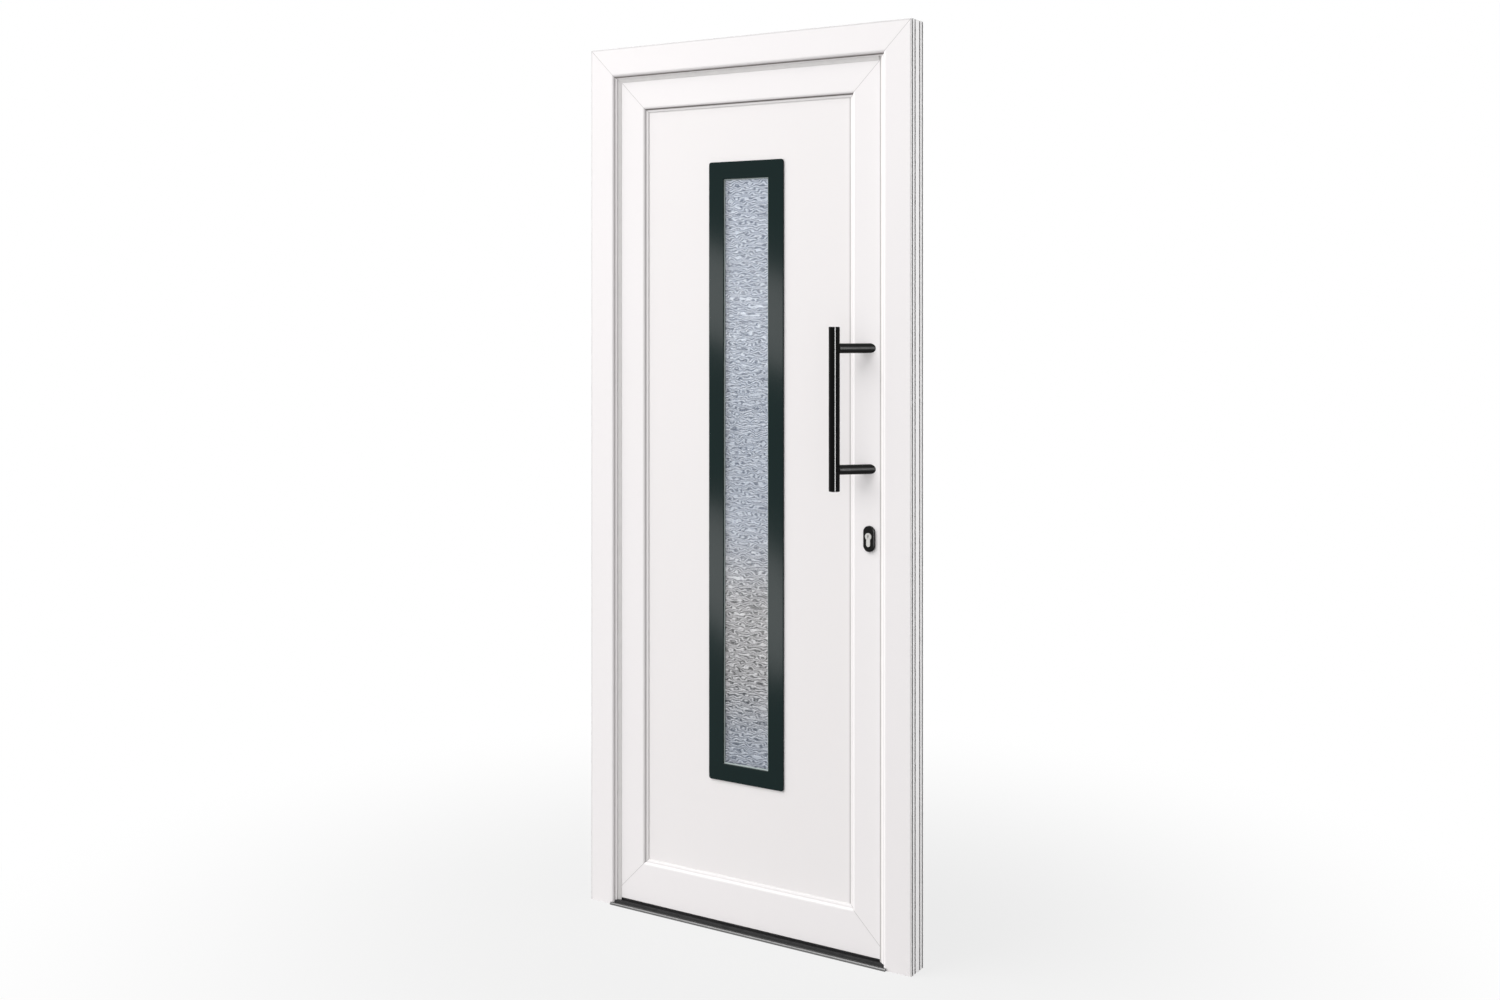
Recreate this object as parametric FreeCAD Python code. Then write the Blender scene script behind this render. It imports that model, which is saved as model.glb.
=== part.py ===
import FreeCAD, Part
import os
from math import radians, sin, sqrt, tan

# White plastic entrance door: one leaf that opens inwards in a three-sided frame over a low
# threshold. Sizes are in millimetres. X runs across the door with the hinges on the left, Y runs
# from outdoors (-Y) to indoors (+Y) and Z is up. The origin is on the underside of the
# threshold, in the middle of the width and of the frame's depth.
# Profile sections are drawn as (inset, depth): inset runs from the outer edge of the frame or
# leaf towards its middle, and depth runs from the outside face towards the room.

Vector = FreeCAD.Vector

# Outer size of the frame
FRAME_WIDTH = 880.0
FRAME_HEIGHT = 2100.0
FRAME_DEPTH = 60.0

# Frame profile
FRAME_FACE = 62.0
FRAME_BEVEL = 13.0
FRAME_BEVEL_DROP = 6.3
FRAME_LIP = 8.5
FRAME_WALL = 44.0
FRAME_CORNER = 1.5
FRAME_LIP_ROUND = 1.0
WALL_GROOVE = 4.0
WALL_GROOVE_DEPTHS = (5.5, 18.5, 41.5, 54.5)

# Round nose between a flat face and its bevel: it ends leaning, in a crease
NOSE_WIDTH = 8.0
NOSE_DROP = 4.5
NOSE_LEAN = 2.5
NOSE_ROUND = 8.0

# Air between the closed leaf and the frame
FACE_GAP = 5.0
EDGE_GAP = 11.0

# Leaf profile
LEAF_DEPTH = 60.0
LEAF_FACE = 91.0
LEAF_BEVEL = 14.0
LEAF_BEVEL_DROP = 6.0
LEAF_LIP = 7.0
LEAF_OVERLAP = 19.0
LEAF_CORNER = 1.0
LEAF_LIP_ROUND = 0.6
OVERLAP_ROUND = 3.0
GLAZING_REBATE = 20.0
HARDWARE_GROOVE = 16.0
HARDWARE_GROOVE_DEEP = 3.0
HARDWARE_GROOVE_AT = 40.0

# Threshold
THRESHOLD_HEIGHT = 11.0
THRESHOLD_NOSE = 5.5
THRESHOLD_REACH = 6.0
THRESHOLD_NOSE_ROUND = 3.0
THRESHOLD_ROUND = 1.0
THRESHOLD_RIB = 10.0
INSERT_FRONT = 3.0
INSERT_SLOPE = 2.0
INSERT_SUNK = 1.0
TREAD_GROOVE = 2.5
TREAD_GROOVE_DEEP = 1.0
TREAD_GROOVE_PITCH = 6.0

# Rubber seals
SEAL_WIDTH = 5.0
SEAL_TIP = 2.0
SEAL_TAPER = 1.5
SEAL_ROOT = 3.0
SEAL_ROOT_DEEP = 2.0
SEAL_TO_FACE = 0.5
SEAL_ROOT_GAP = 0.1
SEAL_FROM_SIGHTLINE = 1.0
BOTTOM_SEAL_AT = 2.0
BOTTOM_SEAL_WIDTH = 7.0
BOTTOM_SEAL_GAP = 1.0

# Door panel and its glazing beads
PANEL_THICK = 24.0
PANEL_SEAL = 1.0
PANEL_SEAL_SHOWS = 1.2
PANEL_EDGE_GAP = 2.0
BEAD_FLAT = 8.0
BEAD_DROP = 9.0
BEAD_ROUND = 2.5

# Window in the panel
TRIM_WIDTH = 205.0
TRIM_ABOVE_LEAF_FOOT = 331.0
TRIM_BELOW_LEAF_TOP = 236.0
TRIM_BAR = 41.0
TRIM_THICK = 4.0
TRIM_CORNER = 6.0
TRIM_EDGE = 0.8
GLASS_GRIP = 19.0
GLASS_EDGE_GAP = 2.0
GLASS_TAPE = 0.5
PANE_THICK = 4.0
SPACER_BAR = 9.0

# Pull bar outside
HANDLE_BACKSET = 55.0
BAR_RADIUS = 12.5
BAR_LENGTH = 366.0
BAR_MIDDLE = 1240.0
BAR_EDGE = 1.0
POST_RADIUS = 11.0
POST_FROM_BAR_END = 48.0
POST_REACH = 58.0
POST_SLANT = 45.0

# Lock and inside lever
CYLINDER_Z = 955.0
CYLINDER_HEAD = 8.0
CYLINDER_TAIL = 4.75
CYLINDER_HEIGHT = 31.0
CYLINDER_PROUD = 1.5
CYLINDER_GAP = 0.2
PLUG_RADIUS = 6.3
PLUG_FIT = 0.05
PLUG_LENGTH = 30.0
PLUG_END_GAP = 0.2
PLUG_PROUD = 0.5
KEYWAY_HEIGHT = 8.0
KEYWAY_WIDTH = 2.2
KEYWAY_DEEP = 12.0
KEYWAY_STEP = 0.9
ESCUTCHEON_WIDTH = 28.0
ESCUTCHEON_HEIGHT = 58.0
ESCUTCHEON_THICK = 6.0
ESCUTCHEON_BEVEL = 1.6
ESCUTCHEON_DROP = 5.5
LEVER_ABOVE_CYLINDER = 92.0
ROSE_THICK = 9.0
LEVER_NECK_RADIUS = 9.0
LEVER_REACH = 52.0
LEVER_LENGTH = 125.0
LEVER_HEIGHT = 20.0
LEVER_THICK = 13.0
LEVER_ROUND = 5.5
LEVER_BEVEL = 1.2

# Lock hardware on the leaf's edge and on the frame
FACEPLATE_FROM_END = 127.5
FACEPLATE_ROUND = 7.5
BOLT_CLEAR = 0.3
LATCH_ABOVE_LEVER = 30.0
LATCH_HEIGHT = 32.0
DEADBOLT_ABOVE_CYLINDER = 34.0
DEADBOLT_HEIGHT = 36.0
BOLT_THICK = 11.0
BOLT_BODY = 22.0
LATCH_PROUD = 1.0
STRIKE_THICK = 2.5
STRIKE_WIDTH = 20.0
STRIKE_MARGIN = 32.0
STRIKE_HOLE_CLEAR = 3.0
STRIKE_POCKET = 14.0
STRIKE_ROUND = 4.0

# Barrel hinges inside
HINGE_INSET = 26.0
HINGE_STANDOFF = 10.0
HINGE_ABOVE_LEAF_FOOT = 210.0
HINGE_BELOW_LEAF_TOP = 195.0
BARREL_RADIUS = 9.0
PIN_RADIUS = 5.0
PIN_FIT = 0.05
FRAME_KNUCKLE = 42.0
LEAF_KNUCKLE = 22.0
KNUCKLE_GAP = 0.5
PIN_CAP = 3.0
PIN_CAP_RADIUS = 8.0
HINGE_PLATE = 6.0
HINGE_PLATE_INSET = 3.0
HINGE_PLATE_HEIGHT = 74.0
HINGE_PLATE_CORNER = 4.0
LEAF_PLATE_THICK = 5.0
LEAF_PLATE_INSET = 4.0
LEAF_PLATE_WIDTH = 38.0
LEAF_ARM_OVER_PLATE = 1.0

# Places that follow from the sizes above
SIGHTLINE = FRAME_FACE + FRAME_BEVEL
LEAF_EDGE = FRAME_WALL + EDGE_GAP
LEAF_WIDTH = FRAME_WIDTH - 2 * LEAF_EDGE
LEAF_FOOT = THRESHOLD_HEIGHT + FACE_GAP
LEAF_HEIGHT = FRAME_HEIGHT - LEAF_EDGE - LEAF_FOOT
LEAF_BAR = LEAF_FACE + LEAF_BEVEL
REBATE_INSET = LEAF_BAR - GLAZING_REBATE
OVERLAP_FRONT = FRAME_DEPTH - FRAME_LIP
OUTSIDE_Y = -FRAME_DEPTH / 2
LEAF_OUTSIDE_Y = OUTSIDE_Y + FRAME_LIP + FACE_GAP
LEAF_INSIDE_Y = LEAF_OUTSIDE_Y + LEAF_DEPTH
PANEL_OUTSIDE_Y = LEAF_OUTSIDE_Y + LEAF_LIP + PANEL_SEAL
PANEL_INSIDE_Y = PANEL_OUTSIDE_Y + PANEL_THICK
PANEL_INSET = REBATE_INSET + PANEL_EDGE_GAP
GROOVE_Y = LEAF_OUTSIDE_Y + HARDWARE_GROOVE_AT
LEAF_TOP = LEAF_FOOT + LEAF_HEIGHT
LEAF_EDGE_X = LEAF_WIDTH / 2
HANDLE_X = LEAF_EDGE_X - HANDLE_BACKSET
REBATE_X = FRAME_WIDTH / 2 - FRAME_WALL
LEVER_Z = CYLINDER_Z + LEVER_ABOVE_CYLINDER
LATCH_Z = LEVER_Z + LATCH_ABOVE_LEVER
DEADBOLT_Z = CYLINDER_Z + DEADBOLT_ABOVE_CYLINDER
HINGE_X = HINGE_INSET - FRAME_WIDTH / 2
HINGE_Y = LEAF_INSIDE_Y + HINGE_STANDOFF
LOWER_HINGE_Z = LEAF_FOOT + HINGE_ABOVE_LEAF_FOOT
UPPER_HINGE_Z = LEAF_TOP - HINGE_BELOW_LEAF_TOP
HINGE_HEIGHTS = {
    "lower": LOWER_HINGE_Z,
    "middle": (LOWER_HINGE_Z + UPPER_HINGE_Z) / 2,
    "upper": UPPER_HINGE_Z,
}
TRIM_FOOT = LEAF_FOOT + TRIM_ABOVE_LEAF_FOOT
TRIM_TOP = LEAF_TOP - TRIM_BELOW_LEAF_TOP


def outline(corners):
    """Flat face in the XY plane through corners (x, y, radius), each rounded to its radius."""
    starts, middles, ends = [], [], []
    for index, (x, y, radius) in enumerate(corners):
        corner = Vector(x, y, 0)
        back = Vector(*corners[index - 1][:2], 0) - corner
        ahead = Vector(*corners[(index + 1) % len(corners)][:2], 0) - corner
        half_angle = back.getAngle(ahead) / 2
        back.normalize()
        ahead.normalize()
        setback = radius / tan(half_angle)
        starts.append(corner + back * setback)
        ends.append(corner + ahead * setback)
        if radius:
            across = (back + ahead).normalize()
            middles.append(corner + across * (radius / sin(half_angle) - radius))
        else:
            middles.append(None)
    edges = []
    for index, middle in enumerate(middles):
        following = starts[(index + 1) % len(corners)]
        if middle is not None:
            edges.append(Part.Arc(starts[index], middle, ends[index]).toShape())
        if ends[index].distanceToPoint(following) > 1e-6:
            edges.append(Part.LineSegment(ends[index], following).toShape())
    return Part.Face(Part.Wire(edges))


def block(x0, x1, y0, y1, z0, z1):
    """Square-edged block between two corners."""
    return Part.makeBox(x1 - x0, y1 - y0, z1 - z0, Vector(x0, y0, z0))


def rod(radius, start, end):
    """Round bar between two points."""
    along = end - start
    return Part.makeCylinder(radius, along.Length, start, along)


def rounded(shape, radius, wanted):
    """The shape with each edge that wanted(edge) picks rounded to the radius."""
    return shape.makeFillet(radius, [edge for edge in shape.Edges if wanted(edge)])


def bevelled(shape, size, wanted):
    """The shape with each edge that wanted(edge) picks bevelled by the size."""
    return shape.makeChamfer(size, [edge for edge in shape.Edges if wanted(edge)])


def edges_at_y(y):
    """Picks the edges that lie wholly in the plane at y."""

    def wanted(edge):
        return abs(edge.BoundBox.YMin - y) < 1e-4 and abs(edge.BoundBox.YMax - y) < 1e-4

    return wanted


def clean(shape):
    """One tidy solid, without the seams that joining leaves."""
    return shape.removeSplitter()


def mirror_x(shape):
    """The same piece on the other side of the door."""
    return shape.mirror(Vector(0, 0, 0), Vector(1, 0, 0))


def member(section, length, mitre_start=True, mitre_end=True):
    """Length of a profile along +Z. A mitred end slopes inwards at 45 degrees from its edge."""
    box = section.BoundBox
    outside_edge = max(0.0, -box.XMin)
    start = -outside_edge if mitre_start else 0.0
    end = length + outside_edge if mitre_end else length
    bar = section.copy()
    bar.translate(Vector(0, 0, start))
    bar = bar.extrude(Vector(0, 0, end - start))
    size = max(abs(box.XMin), abs(box.XMax)) + 1
    for cut_here, tip, way in ((mitre_start, 0.0, 1), (mitre_end, length, -1)):
        if cut_here:
            corners = [
                Vector(-size, box.YMin - 1, tip - way * size),
                Vector(size, box.YMin - 1, tip + way * size),
                Vector(size, box.YMin - 1, tip - way * size),
            ]
            wedge = Part.Face(Part.makePolygon(corners + corners[:1]))
            bar = bar.cut(wedge.extrude(Vector(0, box.YLength + 2, 0)))
    return bar


def as_left_upright(shape, edge_x, front_y, foot_z):
    """Places a member at the left, with its inset towards +X."""
    shape.translate(Vector(edge_x, front_y, foot_z))
    return shape


def as_top_bar(shape, left_x, front_y, edge_z):
    """Places a member at the top, with its inset downwards."""
    shape.rotate(Vector(0, 0, 0), Vector(0, 1, 0), 90)
    shape.translate(Vector(left_x, front_y, edge_z))
    return shape


def as_bottom_bar(shape, right_x, front_y, edge_z):
    """Places a member at the bottom, with its inset upwards."""
    shape.rotate(Vector(0, 0, 0), Vector(0, 1, 0), -90)
    shape.translate(Vector(right_x, front_y, edge_z))
    return shape


def four_sides(section, width, height, front_y, foot_z, bottom_section=None):
    """Mitred surround of a profile: hinge side, lock side, top and bottom."""
    upright = member(section, height)
    hinge_side = as_left_upright(upright, -width / 2, front_y, foot_z)
    top = as_top_bar(member(section, width), -width / 2, front_y, foot_z + height)
    sill = member(bottom_section or section, width)
    bottom = as_bottom_bar(sill, width / 2, front_y, foot_z)
    return hinge_side, mirror_x(hinge_side), top, bottom


def three_sides(section, width, height, front_y):
    """Mitred head on two uprights that stand on z = 0: hinge side, lock side and top."""
    upright = member(section, height, mitre_start=False)
    hinge_side = as_left_upright(upright, -width / 2, front_y, 0.0)
    top = as_top_bar(member(section, width), -width / 2, front_y, height)
    return hinge_side, mirror_x(hinge_side), top


def stepped_bevel(face, width, drop, lip_round):
    """Corners of a bevel beside a flat face: a round nose, a crease, a slope and a lip."""
    crease = face + NOSE_WIDTH
    return [
        (crease - NOSE_LEAN, 0, NOSE_ROUND),
        (crease, NOSE_DROP, 0),
        (face + width, drop, lip_round),
    ]


def frame_section():
    """Frame profile: flat face, stepped bevel, lip over the leaf, and a grooved wall side."""
    corners = [(0, 0, FRAME_CORNER)]
    corners += stepped_bevel(FRAME_FACE, FRAME_BEVEL, FRAME_BEVEL_DROP, FRAME_LIP_ROUND)
    corners += [(SIGHTLINE, FRAME_LIP, 0)]
    seal_middle = frame_seal_inset()
    half_root = SEAL_ROOT / 2
    corners += [
        (seal_middle + half_root, FRAME_LIP, 0),
        (seal_middle + half_root, FRAME_LIP - SEAL_ROOT_DEEP, 0),
        (seal_middle - half_root, FRAME_LIP - SEAL_ROOT_DEEP, 0),
        (seal_middle - half_root, FRAME_LIP, 0),
        (FRAME_WALL, FRAME_LIP, 0),
        (FRAME_WALL, FRAME_DEPTH, FRAME_CORNER),
        (0, FRAME_DEPTH, FRAME_CORNER),
    ]
    for depth in reversed(WALL_GROOVE_DEPTHS):
        corners += [
            (0, depth + WALL_GROOVE / 2, 0),
            (WALL_GROOVE, depth + WALL_GROOVE / 2, 0),
            (WALL_GROOVE, depth - WALL_GROOVE / 2, 0),
            (0, depth - WALL_GROOVE / 2, 0),
        ]
    return outline(corners)


def frame_seal_inset():
    """Middle of the seal in the back of the frame's lip, just behind the sightline."""
    return SIGHTLINE - SEAL_WIDTH / 2 - SEAL_FROM_SIGHTLINE


def overlap_seal_inset():
    """Middle of the seal in the leaf's overlap, from the leaf's edge, over the frame's face."""
    overlap_edge = LEAF_EDGE - LEAF_OVERLAP
    return (overlap_edge + FRAME_WALL) / 2 - LEAF_EDGE


def leaf_section(with_overlap=True):
    """Leaf profile: flat face, stepped bevel round the panel, rebate, overlap and groove."""
    corners = [(0, 0, LEAF_CORNER)]
    corners += stepped_bevel(LEAF_FACE, LEAF_BEVEL, LEAF_BEVEL_DROP, LEAF_LIP_ROUND)
    corners += [
        (LEAF_BAR, LEAF_LIP, 0),
        (REBATE_INSET, LEAF_LIP, 0),
        (REBATE_INSET, LEAF_DEPTH, LEAF_CORNER),
    ]
    if with_overlap:
        middle = overlap_seal_inset()
        half_root = SEAL_ROOT / 2
        corners += [
            (-LEAF_OVERLAP, LEAF_DEPTH, OVERLAP_ROUND),
            (-LEAF_OVERLAP, OVERLAP_FRONT, LEAF_CORNER),
            (middle - half_root, OVERLAP_FRONT, 0),
            (middle - half_root, OVERLAP_FRONT + SEAL_ROOT_DEEP, 0),
            (middle + half_root, OVERLAP_FRONT + SEAL_ROOT_DEEP, 0),
            (middle + half_root, OVERLAP_FRONT, 0),
            (0, OVERLAP_FRONT, 0),
        ]
    else:
        corners += [(0, LEAF_DEPTH, LEAF_CORNER)]
    half_groove = HARDWARE_GROOVE / 2
    corners += [
        (0, HARDWARE_GROOVE_AT + half_groove, 0),
        (HARDWARE_GROOVE_DEEP, HARDWARE_GROOVE_AT + half_groove, 0),
        (HARDWARE_GROOVE_DEEP, HARDWARE_GROOVE_AT - half_groove, 0),
        (0, HARDWARE_GROOVE_AT - half_groove, 0),
    ]
    return outline(corners)


def seal_section(inset, seat, way):
    """Rubber seal with its root in a groove. It stands off the seat by way (+1 or -1) in depth."""
    half_root = SEAL_ROOT / 2 - SEAL_ROOT_GAP
    half = SEAL_WIDTH / 2
    root = seat - way * (SEAL_ROOT_DEEP - SEAL_ROOT_GAP)
    tip = seat + way * (FACE_GAP - SEAL_TO_FACE)
    shoulder = tip - way * SEAL_TAPER
    half_tip = SEAL_TIP / 2
    return outline(
        [
            (inset - half_root, root, 0),
            (inset + half_root, root, 0),
            (inset + half_root, seat, 0),
            (inset + half, seat, 0),
            (inset + half, shoulder, 0),
            (inset + half_tip, tip, 0),
            (inset - half_tip, tip, 0),
            (inset - half, shoulder, 0),
            (inset - half, seat, 0),
            (inset - half_root, seat, 0),
        ]
    )


def bead_section():
    """Glazing bead: fills the rebate behind the panel and slopes down to it on the room side."""
    back = LEAF_LIP + 2 * PANEL_SEAL + PANEL_THICK
    return outline(
        [
            (REBATE_INSET, back, 0),
            (LEAF_BAR, back, 0),
            (LEAF_BAR, LEAF_DEPTH - BEAD_DROP, BEAD_ROUND),
            (REBATE_INSET + BEAD_FLAT, LEAF_DEPTH, BEAD_ROUND),
            (REBATE_INSET, LEAF_DEPTH, 0),
        ]
    )


def build_frame():
    """Head and jambs, with the lock jamb pocketed behind the strike plate."""
    hinge_jamb, lock_jamb, head = three_sides(
        frame_section(), FRAME_WIDTH, FRAME_HEIGHT, OUTSIDE_Y
    )
    for z, height in strike_holes():
        half = height / 2
        width = bolt_hole_width() / 2
        pocket = block(
            REBATE_X - 1, REBATE_X + STRIKE_POCKET,
            GROOVE_Y - width, GROOVE_Y + width, z - half, z + half,
        )
        lock_jamb = lock_jamb.cut(pocket)
    return {
        "frame_hinge_jamb": hinge_jamb,
        "frame_lock_jamb": lock_jamb,
        "frame_head": head,
    }


def build_frame_seal():
    """One rubber seal round the back of the frame's lip, on three sides."""
    section = seal_section(frame_seal_inset(), FRAME_LIP, 1)
    hinge_side, lock_side, top = three_sides(section, FRAME_WIDTH, FRAME_HEIGHT, OUTSIDE_Y)
    above_threshold = block(
        -FRAME_WIDTH, FRAME_WIDTH, -FRAME_DEPTH, FRAME_DEPTH, THRESHOLD_HEIGHT, FRAME_HEIGHT
    )
    return clean(hinge_side.fuse([lock_side, top])).common(above_threshold)


def build_threshold(jambs):
    """Metal base with a rounded nose, and the dark insert that it carries, fitted to the jambs."""
    back_y = OUTSIDE_Y + FRAME_DEPTH
    nose_y = OUTSIDE_Y - THRESHOLD_REACH
    rib_y = back_y - THRESHOLD_RIB
    seat = THRESHOLD_NOSE - INSERT_SUNK
    step_y = OUTSIDE_Y + INSERT_FRONT
    base_face = outline(
        [
            (nose_y, 0, 0),
            (nose_y, THRESHOLD_NOSE, THRESHOLD_NOSE_ROUND),
            (step_y, THRESHOLD_NOSE, 0),
            (step_y, seat, 0),
            (rib_y, seat, 0),
            (rib_y, THRESHOLD_HEIGHT, THRESHOLD_ROUND),
            (back_y, THRESHOLD_HEIGHT, THRESHOLD_ROUND),
            (back_y, 0, 0),
        ]
    )
    insert_face = outline(
        [
            (step_y, seat, 0),
            (step_y, THRESHOLD_NOSE, 0),
            (step_y + INSERT_SLOPE, THRESHOLD_HEIGHT, THRESHOLD_ROUND),
            (rib_y, THRESHOLD_HEIGHT, 0),
            (rib_y, seat, 0),
        ]
    )
    tread_from = step_y + INSERT_SLOPE + TREAD_GROOVE_PITCH
    treads = int((rib_y - tread_from) // TREAD_GROOVE_PITCH)
    for index in range(treads):
        left = tread_from + index * TREAD_GROOVE_PITCH
        groove = outline(
            [
                (left, THRESHOLD_HEIGHT, 0),
                (left + TREAD_GROOVE, THRESHOLD_HEIGHT, 0),
                (left + TREAD_GROOVE, THRESHOLD_HEIGHT - TREAD_GROOVE_DEEP, 0),
                (left, THRESHOLD_HEIGHT - TREAD_GROOVE_DEEP, 0),
            ]
        )
        insert_face = insert_face.cut(groove)
    nose_end = FRAME_WIDTH / 2 - FRAME_FACE
    spare = block(nose_end, FRAME_WIDTH, nose_y - 1, OUTSIDE_Y, -1, THRESHOLD_HEIGHT + 1)
    pieces = []
    for face in (base_face, insert_face):
        # The face is drawn in (depth, height), so it is turned to stand across the door.
        face.rotate(Vector(0, 0, 0), Vector(1, 1, 1), 120)
        face.translate(Vector(-REBATE_X, 0, 0))
        bar = face.extrude(Vector(2 * REBATE_X, 0, 0))
        pieces.append(bar.cut([*jambs, spare, mirror_x(spare)]))
    return {"threshold_base": pieces[0], "threshold_insert": pieces[1]}


def build_leaf():
    """Four mitred leaf members, with the lock stile cut for the cylinder and the bolts."""
    hinge_stile, lock_stile, top_rail, bottom_rail = four_sides(
        leaf_section(), LEAF_WIDTH, LEAF_HEIGHT, LEAF_OUTSIDE_Y, LEAF_FOOT,
        leaf_section(with_overlap=False),
    )
    below = block(
        -FRAME_WIDTH, FRAME_WIDTH, -FRAME_DEPTH, 2 * FRAME_DEPTH, -FRAME_DEPTH, LEAF_FOOT
    )
    hinge_stile = hinge_stile.cut(below)
    lock_stile = lock_stile.cut(below)
    lock_stile = lock_stile.cut(cylinder_profile(CYLINDER_GAP, LEAF_OUTSIDE_Y, LEAF_INSIDE_Y))
    for z, height in bolt_places():
        lock_stile = lock_stile.cut(bolt_block(z, height, BOLT_CLEAR, 0.0))
    return {
        "leaf_hinge_stile": hinge_stile,
        "leaf_lock_stile": lock_stile,
        "leaf_top_rail": top_rail,
        "leaf_bottom_rail": bottom_rail,
    }


def build_leaf_seals():
    """Seal round the overlap on three sides, and the strip under the leaf."""
    section = seal_section(overlap_seal_inset(), OVERLAP_FRONT, -1)
    sides = four_sides(section, LEAF_WIDTH, LEAF_HEIGHT, LEAF_OUTSIDE_Y, LEAF_FOOT)
    above_foot = block(
        -FRAME_WIDTH, FRAME_WIDTH, -FRAME_DEPTH, FRAME_DEPTH, LEAF_FOOT, FRAME_HEIGHT
    )
    overlap_seal = clean(sides[0].fuse([sides[1], sides[2]])).common(above_foot)
    strip_y = LEAF_OUTSIDE_Y + BOTTOM_SEAL_AT
    strip = block(
        SEAL_TO_FACE - LEAF_EDGE_X, LEAF_EDGE_X - SEAL_TO_FACE,
        strip_y, strip_y + BOTTOM_SEAL_WIDTH,
        THRESHOLD_HEIGHT + BOTTOM_SEAL_GAP, LEAF_FOOT,
    )
    return {"leaf_overlap_seal": overlap_seal, "leaf_bottom_seal": strip}


def panel_outline(inset):
    """Left, right, bottom and top of a rectangle inside the leaf's edge by the inset."""
    half = LEAF_WIDTH / 2 - inset
    return -half, half, LEAF_FOOT + inset, LEAF_TOP - inset


def window_outline(inset):
    """Left, right, bottom and top of a rectangle inside the trim's outer edge by the inset."""
    half = TRIM_WIDTH / 2 - inset
    return -half, half, TRIM_FOOT + inset, TRIM_TOP - inset


def slab(bounds, y0, y1):
    """Flat slab over the rectangle between two depths."""
    left, right, bottom, top = bounds
    return block(left, right, y0, y1, bottom, top)


def hoop(outer, inner, y0, y1):
    """Flat rectangular ring between two rectangles and two depths."""
    return slab(outer, y0, y1).cut(slab(inner, y0 - 1, y1 + 1))


def build_panel():
    """Infill panel with the window cut through it, its flat seals and the glazing beads."""
    cut_out = window_outline(TRIM_BAR - GLASS_GRIP - GLASS_EDGE_GAP)
    panel = hoop(panel_outline(PANEL_INSET), cut_out, PANEL_OUTSIDE_Y, PANEL_INSIDE_Y)
    seal_outer = panel_outline(PANEL_INSET)
    seal_inner = panel_outline(LEAF_BAR + PANEL_SEAL_SHOWS)
    pieces = {
        "door_panel": panel,
        "panel_seal_outside": hoop(
            seal_outer, seal_inner, PANEL_OUTSIDE_Y - PANEL_SEAL, PANEL_OUTSIDE_Y
        ),
        "panel_seal_inside": hoop(
            seal_outer, seal_inner, PANEL_INSIDE_Y, PANEL_INSIDE_Y + PANEL_SEAL
        ),
    }
    # The beads butt against the rebate, so their mitres start at its corners.
    section = bead_section()
    section.translate(Vector(-REBATE_INSET, 0, 0))
    names = ("bead_hinge_side", "bead_lock_side", "bead_top", "bead_bottom")
    sides = four_sides(
        section, LEAF_WIDTH - 2 * REBATE_INSET, LEAF_HEIGHT - 2 * REBATE_INSET,
        LEAF_OUTSIDE_Y, LEAF_FOOT + REBATE_INSET,
    )
    pieces.update(zip(names, sides))
    return pieces


def window_trim(back_y, way):
    """Flat trim round the glass, standing off the panel towards way (-1 is outdoors)."""
    front_y = back_y + way * TRIM_THICK
    y0, y1 = sorted((back_y, front_y))
    plate = slab(window_outline(0), y0, y1)
    plate = rounded(plate, TRIM_CORNER, lambda edge: edge.BoundBox.YLength > TRIM_THICK / 2)
    opening = slab(window_outline(TRIM_BAR), y0 - 1, y1 + 1)
    ring = plate.cut(opening)
    return bevelled(ring, TRIM_EDGE, edges_at_y(front_y))


def build_window():
    """Trims outside and inside, and the double glazing between them."""
    glass = window_outline(TRIM_BAR - GLASS_GRIP)
    outer_y = PANEL_OUTSIDE_Y + GLASS_TAPE
    inner_y = PANEL_INSIDE_Y - GLASS_TAPE
    spacer_hole = window_outline(TRIM_BAR - GLASS_GRIP + SPACER_BAR)
    return {
        "window_trim_outside": window_trim(PANEL_OUTSIDE_Y, -1),
        "window_trim_inside": window_trim(PANEL_INSIDE_Y, 1),
        "glass_outside": slab(glass, outer_y, outer_y + PANE_THICK),
        "glass_inside": slab(glass, inner_y - PANE_THICK, inner_y),
        "glass_spacer": hoop(glass, spacer_hole, outer_y + PANE_THICK, inner_y - PANE_THICK),
    }


def build_pull_bar():
    """Straight round bar on two slanted round posts that stand on the lock stile."""
    side_step = POST_REACH * tan(radians(POST_SLANT))
    bar_x = HANDLE_X - side_step
    bar_y = LEAF_OUTSIDE_Y - POST_REACH
    bottom = Vector(bar_x, bar_y, BAR_MIDDLE - BAR_LENGTH / 2)
    bar = rod(BAR_RADIUS, bottom, bottom + Vector(0, 0, BAR_LENGTH))
    bar = bevelled(bar, BAR_EDGE, lambda edge: edge.BoundBox.ZLength < BAR_EDGE)
    outdoors = block(
        -FRAME_WIDTH, FRAME_WIDTH, bar_y, LEAF_OUTSIDE_Y, 0, FRAME_HEIGHT
    )
    pieces = {"pull_bar": bar}
    for name, side in (("pull_bar_lower_post", -1), ("pull_bar_upper_post", 1)):
        z = BAR_MIDDLE + side * (BAR_LENGTH / 2 - POST_FROM_BAR_END)
        at_bar = Vector(bar_x, bar_y, z)
        at_leaf = Vector(HANDLE_X, LEAF_OUTSIDE_Y, z)
        past_leaf = at_leaf + (at_leaf - at_bar).normalize() * 2 * POST_RADIUS
        pieces[name] = rod(POST_RADIUS, at_bar, past_leaf).common(outdoors).cut(bar)
    return pieces


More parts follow.
